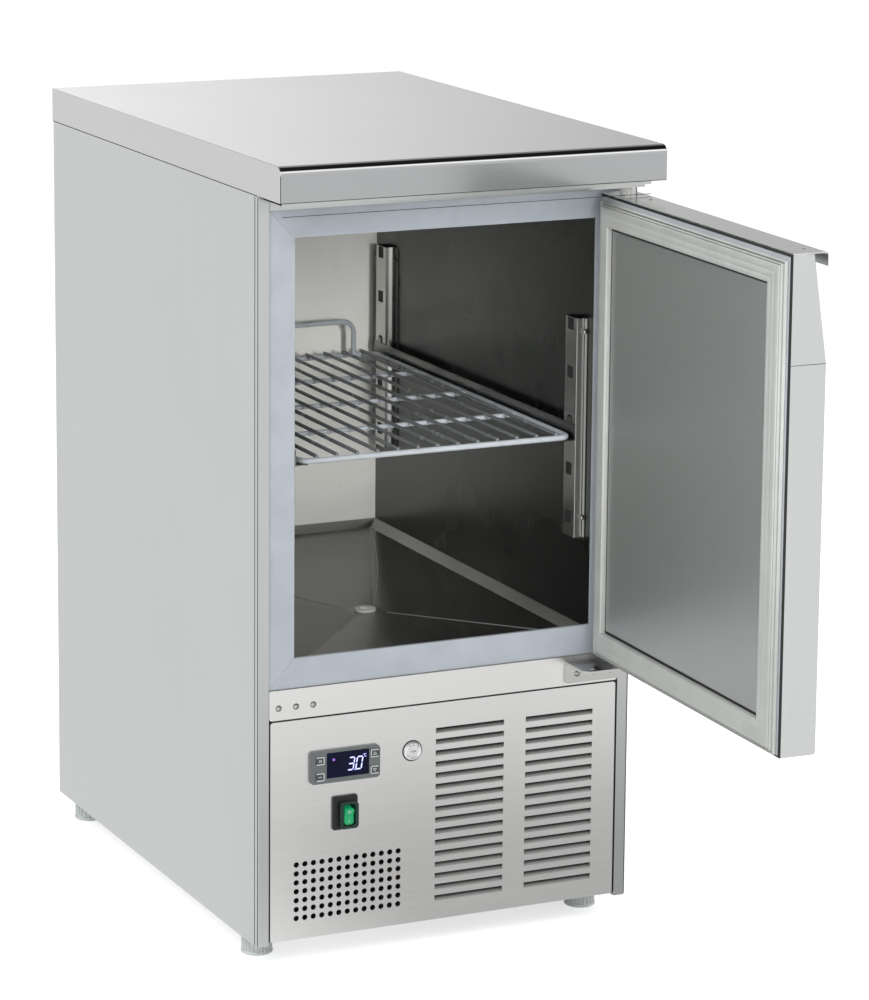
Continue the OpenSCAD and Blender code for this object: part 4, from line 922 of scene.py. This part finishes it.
def keySigns(p):
    cx, cz = panelPlan["at"]
    for name, (body, at, side, sign) in p["keys"].items():
        x, z = side * p["half"][0], p["half"][1]
        lines = [((-x, z), (x, z), p["rim"]), ((x, z), (x, -z), p["rim"]),
                 ((x, -z), (-x, -z), p["rim"]), *p["signs"][sign]]
        marks = [stroke(*((cx + (at[0] + u) * mm, cz + (at[1] + v) * mm) for u, v in (a, b)),
                        width * mm, p["y"], p["thick"]) for a, b, width in lines]
        settle(name + "Sign", marks, body, "markPaint", "key_rubber")


keySigns(keyPlan)

# ON and OFF marks on the tipped rocker: a ring and a stroke
rockerPlan = {"at": (-0.114, -0.2645, 0.158), "tilt": 8, "thick": 0.0001,
              "ring": (0.0013, 0.0017), "ringZ": 0.0052, "ringY": -0.00957, "ringWidth": 0.0006,
              "ringSides": 16, "strokeZ": (-0.0068, -0.0038), "strokeY": -0.00955,
              "strokeWidth": 0.0007}


def rockerMarks(p):
    cx, cy, cz = p["at"]
    tilt, (rx, rz), sides = math.radians(p["tilt"]), p["ring"], p["ringSides"]

    def onRocker(point):
        x, y, z = point
        return (cx + x, cy + y * math.cos(tilt) - z * math.sin(tilt),
                cz + y * math.sin(tilt) + z * math.cos(tilt))

    turns = [2 * math.pi * k / sides for k in range(sides + 1)]
    ring = [(rx * math.cos(a), p["ringZ"] + rz * math.sin(a)) for a in turns]
    marks = [stroke(a, b, p["ringWidth"], p["ringY"], p["thick"], onRocker)
             for a, b in zip(ring, ring[1:])]
    marks.append(stroke(*((0, z) for z in p["strokeZ"]), p["strokeWidth"], p["strokeY"],
                        p["thick"], onRocker))
    settle("rockerSigns", marks, "switch_rocker", "markPaint", "rocker_green")


rockerMarks(rockerPlan)
print("controller and switch marked")


# Screws with domed heads, each set in a black ring of painted shade for its round recess; the
# head's section is given in (share of the radius, height)
screwPlan = {"xs": (0.153, 0.1725, 0.192), "z": 0.281, "leftY": -0.268, "rightY": -0.271,
             "headR": 0.0029, "sides": 14, "spin": 3.1, "wallSeed": 5,
             "head": [(0, 0.0008), (0.24, 0.0008), (0.28, 0.0017), (0.55, 0.0015), (0.8, 0.0009),
                      (1, 0.0), (1, -0.0004), (0, -0.0004)],
             "seatIn": 0.8, "seatOut": 0.0005, "seatZ": (0.00005, -0.0002), "seatSides": 20,
             "middle": -0.002, "wall": 0.1692, "wallZs": (0.445, 0.647),
             "posts": (("frontUprightScrews", -0.2465, "rackSteel", []),
                       ("rearUprightScrews", 0.235, "screwSteel", ["upright_screws"]))}


def driveScrews(s):
    r, (high, low) = s["headR"], s["seatZ"]
    head = linked("screwHead", turnedPart("screwHead", [(r * share, z) for share, z in s["head"]],
                                          s["sides"]))
    spots = [(-x, s["leftY"], s["z"]) for x in s["xs"]]
    spots += [(x, s["rightY"], s["z"]) for x in s["xs"]]
    forward = (math.radians(90), 0, 0)
    heads = studded("frontScrewHeads", head, spots, "screwSteel", Turn=forward, Spin=s["spin"])
    settle("frontScrewHeads", heads, "cabinet", "screwSteel", "screw_steel", ["front_screws"])
    inner, outer = r * s["seatIn"], r + s["seatOut"]
    # A black ring round each head: painted shade in its recess
    ring = linked("screwSeat", turnedPart("screwSeat", [
        (inner, high), (outer, high), (outer, low), (inner, low), (inner, high)], s["seatSides"]))
    settle("screwSeats", studded("screwSeats", ring, spots, "blackRubber", Turn=forward),
           "cabinet", "blackRubber", "screw_steel")
    bpy.data.objects.remove(ring)
    for name, y, finish, replaced in s["posts"]:
        meshes = []
        for side in (-1, 1):
            spots = [(s["middle"] + side * s["wall"], y, z) for z in s["wallZs"]]
            meshes.append(studded(name, head, spots, finish, Spin=s["spin"], Seed=s["wallSeed"],
                                  Turn=(0, math.radians(-90 * side), 0)))
        settle(name, meshes, "cabinet", finish, "screw_steel", replaced)
    bpy.data.objects.remove(head)


driveScrews(screwPlan)

# Rivets of the door's handle strip, and a black strip of painted shade for the seam at the bend of
# the door's end
fastenerPlan = {"rivets": (-0.1805, 0.144), "rivetY": -0.300, "rivetZ": 0.800, "sides": 16,
                "rivet": [(0, 0.0007), (0.0012, 0.0006), (0.0019, 0.0002), (0.002, -0.0002),
                          (0, -0.0002)],
                "seamX": (0.0002, -0.00004), "seamY": (-0.3149, -0.2765), "seamHalf": 0.0003}


def doorFasteners(f):
    rivet = linked("rivetHead", turnedPart("rivetHead", f["rivet"], f["sides"]))
    spots = [turnedOpen((x, f["rivetY"], f["rivetZ"])) for x in f["rivets"]]
    settle("handleRivets", studded("handleRivets", rivet, spots, "screwSteel"), "door",
           "screwSteel", "screw_steel")
    bpy.data.objects.remove(rivet)
    x, z = doorPlan["x0"], doorPlan["bend"]
    seam = block("doorEndSeam", [x + dx for dx in f["seamX"]], f["seamY"],
                 (z - f["seamHalf"], z + f["seamHalf"]), turnedOpen)
    settle("doorEndSeam", seam, "door", "blackRubber", "casing_steel")


doorFasteners(fastenerPlan)
print("fasteners driven")


# Ribbed feet: the flanges' section in (inwards from the radius, height), and a rib's inner and
# outer end in (inwards from the radius, half width, distance from the foot's ends)
footPlan = {"radius": 0.017, "high": 0.0247, "ribs": 22, "sides": 40, "stem": (0.0051, 0.005),
            "top": 0.041, "rib": ((0.0036, 0.0011, 0.0026), (0.0006, 0.0006, 0.0032)),
            "flange": [(0.001, 0), (0, 0.0008), (0, 0.0026), (0.0006, 0.0034), (0.0028, 0.004)],
            "corners": ("front_left", "front_right", "rear_left", "rear_right")}


def standFeet(f):
    r, h, top, (stemLow, stemHigh) = f["radius"], f["high"], f["top"], f["stem"]
    rib = linked("footRib", meshFrom(
        "footRib", [(r - depth, s * half, z) for depth, half, end in f["rib"] for s in (-1, 1)
                    for z in (end, h - end)], boxFaces))
    ribs = grown("footRibs", ribRing, pathMesh("footCarrier", [([(0, 0, 0)], False)]), Part=rib,
                 Ribs=f["ribs"], Finish=finishes["footPlastic"])
    bpy.data.objects.remove(rib)
    flange = [(r - inwards, z) for inwards, z in f["flange"]]
    section = [(0, 0), *flange, *((x, h - z) for x, z in reversed(flange)), (stemLow, h),
               (stemHigh, top), (0, top)]
    core = turnedPart("footCore", section, f["sides"])
    for corner in f["corners"]:
        node = "foot_" + corner
        low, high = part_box(node)
        cx, cy = (low.x + high.x) / 2, (low.y + high.y) / 2
        mesh = joined(node + "Ribbed", [core, ribs], lambda p: (p[0] + cx, p[1] + cy, p[2]))
        settle(node + "Ribbed", mesh, corner + "_foot", "footPlastic", "foot_plastic", [node])


standFeet(footPlan)
print("feet stood")


# The lock's beaded collar on its washer
lockPlan = {"at": (-0.0392, -0.2675, 0.2175), "sides": 48,
            "washer": [(9.5, 0.0), (11.5, 0.0), (11.5, 0.14), (9.5, 0.14), (9.5, 0.0)],
            "bead": [(6.45, -12), (6.45, 2.6), (6.8, 2.9), (7.2, 2.6), (7.5, 2.1), (7.9, 2.4),
                     (8.4, 2.9), (9.0, 2.95), (9.7, 2.5), (10.2, 1.6), (10.45, 0.5),
                     (10.45, 0.16), (8.4, 0.16), (8.4, -12), (6.45, -12)]}


def fitLock(s):
    x, y, z = s["at"]

    def place(p):
        return (x + p[0] * mm, y - p[2] * mm, z + p[1] * mm)

    settle("lockCollar", turnedPart("lockCollar", s["bead"], s["sides"], place), "cabinet",
           "chromePlate", "chrome", ["lock_housing"])
    settle("lockWasher", turnedPart("lockWasher", s["washer"], s["sides"], place), "cabinet",
           "blackRubber", "switch_plastic")


fitLock(lockPlan)
print("lock fitted")


# Black strips of painted shade and painted reflection at the sheets' edges, folds and gaps: x, y
# and z spans in millimetres, the paired ones on both sides
shadeLineSpans = {
    "slabCorner": ((-217.5, -216.9), (-330.0, -329.3), (818.2, 846.0)),
    "slabFoot": ((-217.0, 217.0), (-330.0, -329.4), (818.0, 818.6)),
    "railFoot": ((-208.4, 208.4), (-313.2, -312.8), (801.5, 802.1)),
}
pairedSpans = {
    "underSlab": ((216.2, 216.9), (-268.0, 329.0), (817.2, 817.9)),
    "foldSide": ((216.2, 216.6), (-263.0, -261.6), (26.0, 816.5)),
    "foldFront": ((215.3, 215.9), (-268.1, -267.7), (26.0, 816.5)),
    "panelGap": ((201.1, 202.3), (-266.6, -262.0), (28.5, 265.5)),
}


def bothSides(spans, middle=0.0):
    return {label + mark: ([middle + side * x for x in xs], ys, zs)
            for label, (xs, ys, zs) in spans.items()
            for mark, side in (("Left", -1), ("Right", 1))}


def drawShadeLines(name, spans, slot):
    meshes = [block(label, *([v * mm for v in ends] for ends in box))
              for label, box in spans.items()]
    settle(name, meshes, "cabinet", "blackRubber", slot)


drawShadeLines("sheetJoints", shadeLineSpans | bothSides(pairedSpans), "casing_steel")

# Painted shade on the uprights: black plates behind their slots and painted shadow lines along
# their
# folds, in millimetres: x from the rack's middle, y from the post's middle, its front fold or its
# lip
rackPlan = {"middle": -2.0, "half": 13.5, "z": (423.0, 661.0),
            "posts": {"Front": (-230.0, 6.0), "Rear": (255.5, 14.0)},
            "slots": (444.0, 496.5, 601.5, 653.8), "slotHalf": (6.1, 6.6),
            "slotX": (161.75, 161.95), "lipX": (171.5, 171.9), "lipY": (-1.5, -0.1),
            "foldX": (170.7, 170.9), "foldY": (-1.1, -0.1), "backX": (161.7, 170.8),
            "backY": (0.1, 0.5)}


def rackSpans(s):
    spans = {}
    wide, tall = s["slotHalf"]
    for post, (y, lip) in s["posts"].items():
        front, back = y - s["half"], y + s["half"]
        for k, z in enumerate(s["slots"]):
            spans["slot%s%d" % (post, k)] = (s["slotX"], (y - wide, y + wide),
                                             (z - tall, z + tall))
        for fold, at in (("lip", front - lip), ("fold", front), ("back", back)):
            spans[fold + post] = (s[fold + "X"], [at + v for v in s[fold + "Y"]], s["z"])
    return bothSides(spans, s["middle"])


drawShadeLines("rackShadows", rackSpans(rackPlan), "chamber_steel")


# Pressings and mouldings whose hard CAD edges are eased, and where those edges lie
easePlan = {"bezelY": -0.268, "topX": 0.2173, "rackX": -0.002, "webX": 0.1622, "skinY": -0.3148,
            "skinZ": 0.3008, "endReach": 0.0002, "endShare": 0.2}


def frontEdge(edge):
    return max(v.co.y for v in edge.verts) < easePlan["bezelY"]


def topEnd(edge):
    return min(abs(v.co.x) for v in edge.verts) > easePlan["topX"]


def postFold(edge):
    a, b = (v.co for v in edge.verts)
    reach = max(abs(c.x - easePlan["rackX"]) for c in (a, b))
    return abs((a - b).normalized().z) > 0.95 and reach < easePlan["webX"]


def skinEdge(edge):
    e = easePlan
    points = [swung(v.co, -doorPlan["opened"]) for v in edge.verts]
    if all(y < e["skinY"] and z < e["skinZ"] for x, y, z in points):
        return 1.0
    return e["endShare"] if all(x < doorPlan["x0"] + e["endReach"] for x, y, z in points) else 0.0


# Node, piece, body, finish, slot, width, segments and, where not all edges are eased, which ones
easedPieces = [
    ("worktop", "worktopShell", "cabinet", "worktopSteel", "worktop_steel", 0.0009, 3, topEnd),
    ("controller_housing", "controllerBezel", "cabinet", "controllerPlastic",
     "controller_plastic", 0.0007, 2, frontEdge),
    ("switch_housing", "switchBezel", "cabinet", "switchPlastic", "switch_plastic", 0.0007, 2,
     frontEdge),
    ("switch_hood", "switchHood", "cabinet", "hoodRubber", "switch_plastic", 0.0011, 3),
    ("rocker", "rockerCap", "switch_rocker", "lampGreen", "rocker_green", 0.0006, 2),
    ("hinge_bracket_lower", "lowerHinge", "cabinet", "bracketSteel", "bracket_steel", 0.0004, 2),
    ("door_handle_rail", "handleStrip", "door", "gripSteel", "casing_steel", 0.0002, 1),
    ("door_skin", "doorShell", "door", "doorSteel", "casing_steel", 0.004, 4, skinEdge),
    ("racking_uprights", "rackUprights", "cabinet", "rackSteel", "chamber_steel", 0.0009, 3,
     postFold),
]
for easedPiece in easedPieces:
    easedCopy(*easedPiece)
print("edges eased")


# Floor, world and lamps. A lamp is its name, place, aim, size and watts; a spot has a cone too
studio = {
    "floorHalf": 30.0, "floorTint": 0.86, "floorLift": 0.56, "worldFill": 0.62, "mirrored": 0.94,
    "dimSpot": (0.36, -0.62), "dimReach": (0.12, 0.75), "dimTo": 0.78,
    "dimNear": (-1.00, -0.70), "dimNearTo": 0.56, "dimNearSide": (-0.20, 0.0),
    "skyEdge": (0.24, 0.40), "skyDark": 0.42, "skySide": (0.33, 0.48), "skySideTo": 0.5,
    "skyFront": (0.60, 0.85), "skyFrontTurn": (-0.45, -0.25), "spotBlend": 0.7,
    "lamps": [("keyLamp", (-2.6, -2.8, 3.0), (0, 0, 0.5), 2.6, 95),
              ("rightLamp", (3.0, -2.2, 2.2), (0, 0, 0.5), 2.4, 40),
              ("topLamp", (0.3, 0.4, 3.6), (0, 0, 0.8), 3.0, 45),
              ("chamberLamp", (0.0, -2.6, 1.0), (0.11, 0.29, 0.47), 0.15, 130, 10),
              ("frontLamp", (-0.7, -4.2, 1.1), (0, 0, 0.5), 1.6, 22)],
}


def layFloor():
    mesh = bpy.data.meshes.new("studioFloor")
    h = studio["floorHalf"]
    mesh.from_pydata([(-h, -h, 0), (h, -h, 0), (h, h, 0), (-h, h, 0)], [], [(0, 1, 2, 3)])
    floor = linked("studioFloor", mesh)
    material, tree, shader, coords = startFinish("paleFloor", Roughness=0.9)
    clouds = addNode(tree, "TexNoise", Scale=2.0, Detail=2.0)
    tree.links.new(coords, clouds.inputs["Vector"])
    pale = studio["floorTint"]
    tree.links.new(mixColours(tree, clouds.outputs["Fac"], (pale,) * 3, (pale + 0.01,) * 3),
                   shader.inputs["Base Color"])
    shader.inputs["Emission Color"].default_value = (1, 1, 1, 1)
    path = addNode(tree, "LightPath")
    tree.links.new(math2(tree, "MULTIPLY", path.outputs["Is Camera Ray"], studio["floorLift"]),
                   shader.inputs["Emission Strength"])
    # What the steel mirrors: an even floor, with a painted shadow under the door and painted shade
    # close in front
    parts = addNode(tree, "SeparateXYZ")
    tree.links.new(coords, parts.inputs[0])
    spotX, spotY = studio["dimSpot"]
    dx = math2(tree, "POWER", math2(tree, "SUBTRACT", parts.outputs["X"], spotX), 2.0)
    dy = math2(tree, "POWER", math2(tree, "SUBTRACT", parts.outputs["Y"], spotY), 2.0)
    away = math2(tree, "SQRT", math2(tree, "ADD", dx, dy), 0.0)
    spot = mapped(tree, away, *studio["dimReach"], studio["dimTo"], 1.0)
    near = mapped(tree, parts.outputs["Y"], *studio["dimNear"], 0.0, 1.0)
    beside = mapped(tree, parts.outputs["X"], *studio["dimNearSide"], 0.0, 1.0)
    near = mapped(tree, math2(tree, "MULTIPLY", near, beside), 0, 1, 1.0, studio["dimNearTo"])
    level = math2(tree, "MULTIPLY", math2(tree, "MULTIPLY", spot, near), studio["mirrored"])
    glow = addNode(tree, "Emission")
    tree.links.new(level, glow.inputs["Strength"])
    mirrored = math2(tree, "MAXIMUM", path.outputs["Is Glossy Ray"],
                     path.outputs["Is Transmission Ray"])
    mix = addNode(tree, "MixShader")
    link(tree, (mirrored, mix.inputs[0]), (shader.outputs[0], mix.inputs[1]),
         (glow.outputs[0], mix.inputs[2]),
         (mix.outputs[0], tree.nodes["Material Output"].inputs["Surface"]))
    mesh.materials.append(material)


def lightWorld():
    world = bpy.data.worlds.new("studioWorld")
    bpy.context.scene.world = world
    world.use_nodes = True
    tree = world.node_tree
    tree.nodes.clear()
    out = addNode(tree, "OutputWorld")
    fill = addNode(tree, "Background", Strength=studio["worldFill"])
    seen = addNode(tree, "Background", Strength=1.0)
    path = addNode(tree, "LightPath")
    # White to the camera. The mirrored sky darkens with height and to the right, but in front it
    # stays white nearly to the top
    parts = addNode(tree, "SeparateXYZ")
    tree.links.new(addNode(tree, "TexCoord").outputs["Generated"], parts.inputs[0])
    sky = mapped(tree, parts.outputs["Z"], *studio["skyEdge"], 1.0, studio["skyDark"])
    side = mapped(tree, parts.outputs["X"], *studio["skySide"], 1.0, studio["skySideTo"])
    low = mapped(tree, parts.outputs["Z"], *studio["skyFront"], 1.0, 0.0)
    ahead = mapped(tree, parts.outputs["Y"], *studio["skyFrontTurn"], 1.0, 0.0)
    front = math2(tree, "MULTIPLY", low, ahead)
    sky = math2(tree, "MAXIMUM", math2(tree, "MULTIPLY", sky, side), front)
    sky = math2(tree, "MAXIMUM", sky, path.outputs["Is Camera Ray"])
    tree.links.new(sky, seen.inputs["Color"])
    direct = math2(tree, "MAXIMUM", path.outputs["Is Camera Ray"], path.outputs["Is Glossy Ray"])
    direct = math2(tree, "MAXIMUM", direct, path.outputs["Is Transmission Ray"])
    mix = addNode(tree, "MixShader")
    link(tree, (direct, mix.inputs[0]), (fill.outputs[0], mix.inputs[1]),
         (seen.outputs[0], mix.inputs[2]), (mix.outputs[0], out.inputs[0]))


def hangLamp(name, place, aim, size, watts, cone=None):
    data = bpy.data.lights.new(name, "SPOT" if cone else "AREA")
    data.energy = watts
    if cone:
        data.spot_size, data.spot_blend = math.radians(cone), studio["spotBlend"]
        data.shadow_soft_size = size
    else:
        data.shape, data.size = "SQUARE", size
    lamp = linked(name, data)
    lamp.location = place
    lamp.visible_glossy = False
    lamp.rotation_euler = (Vector(aim) - Vector(place)).to_track_quat("-Z", "Y").to_euler()


layFloor()
lightWorld()
for lampRow in studio["lamps"]:
    hangLamp(*lampRow)
bpy.context.scene.view_settings.view_transform = "Standard"
print("studio lit")
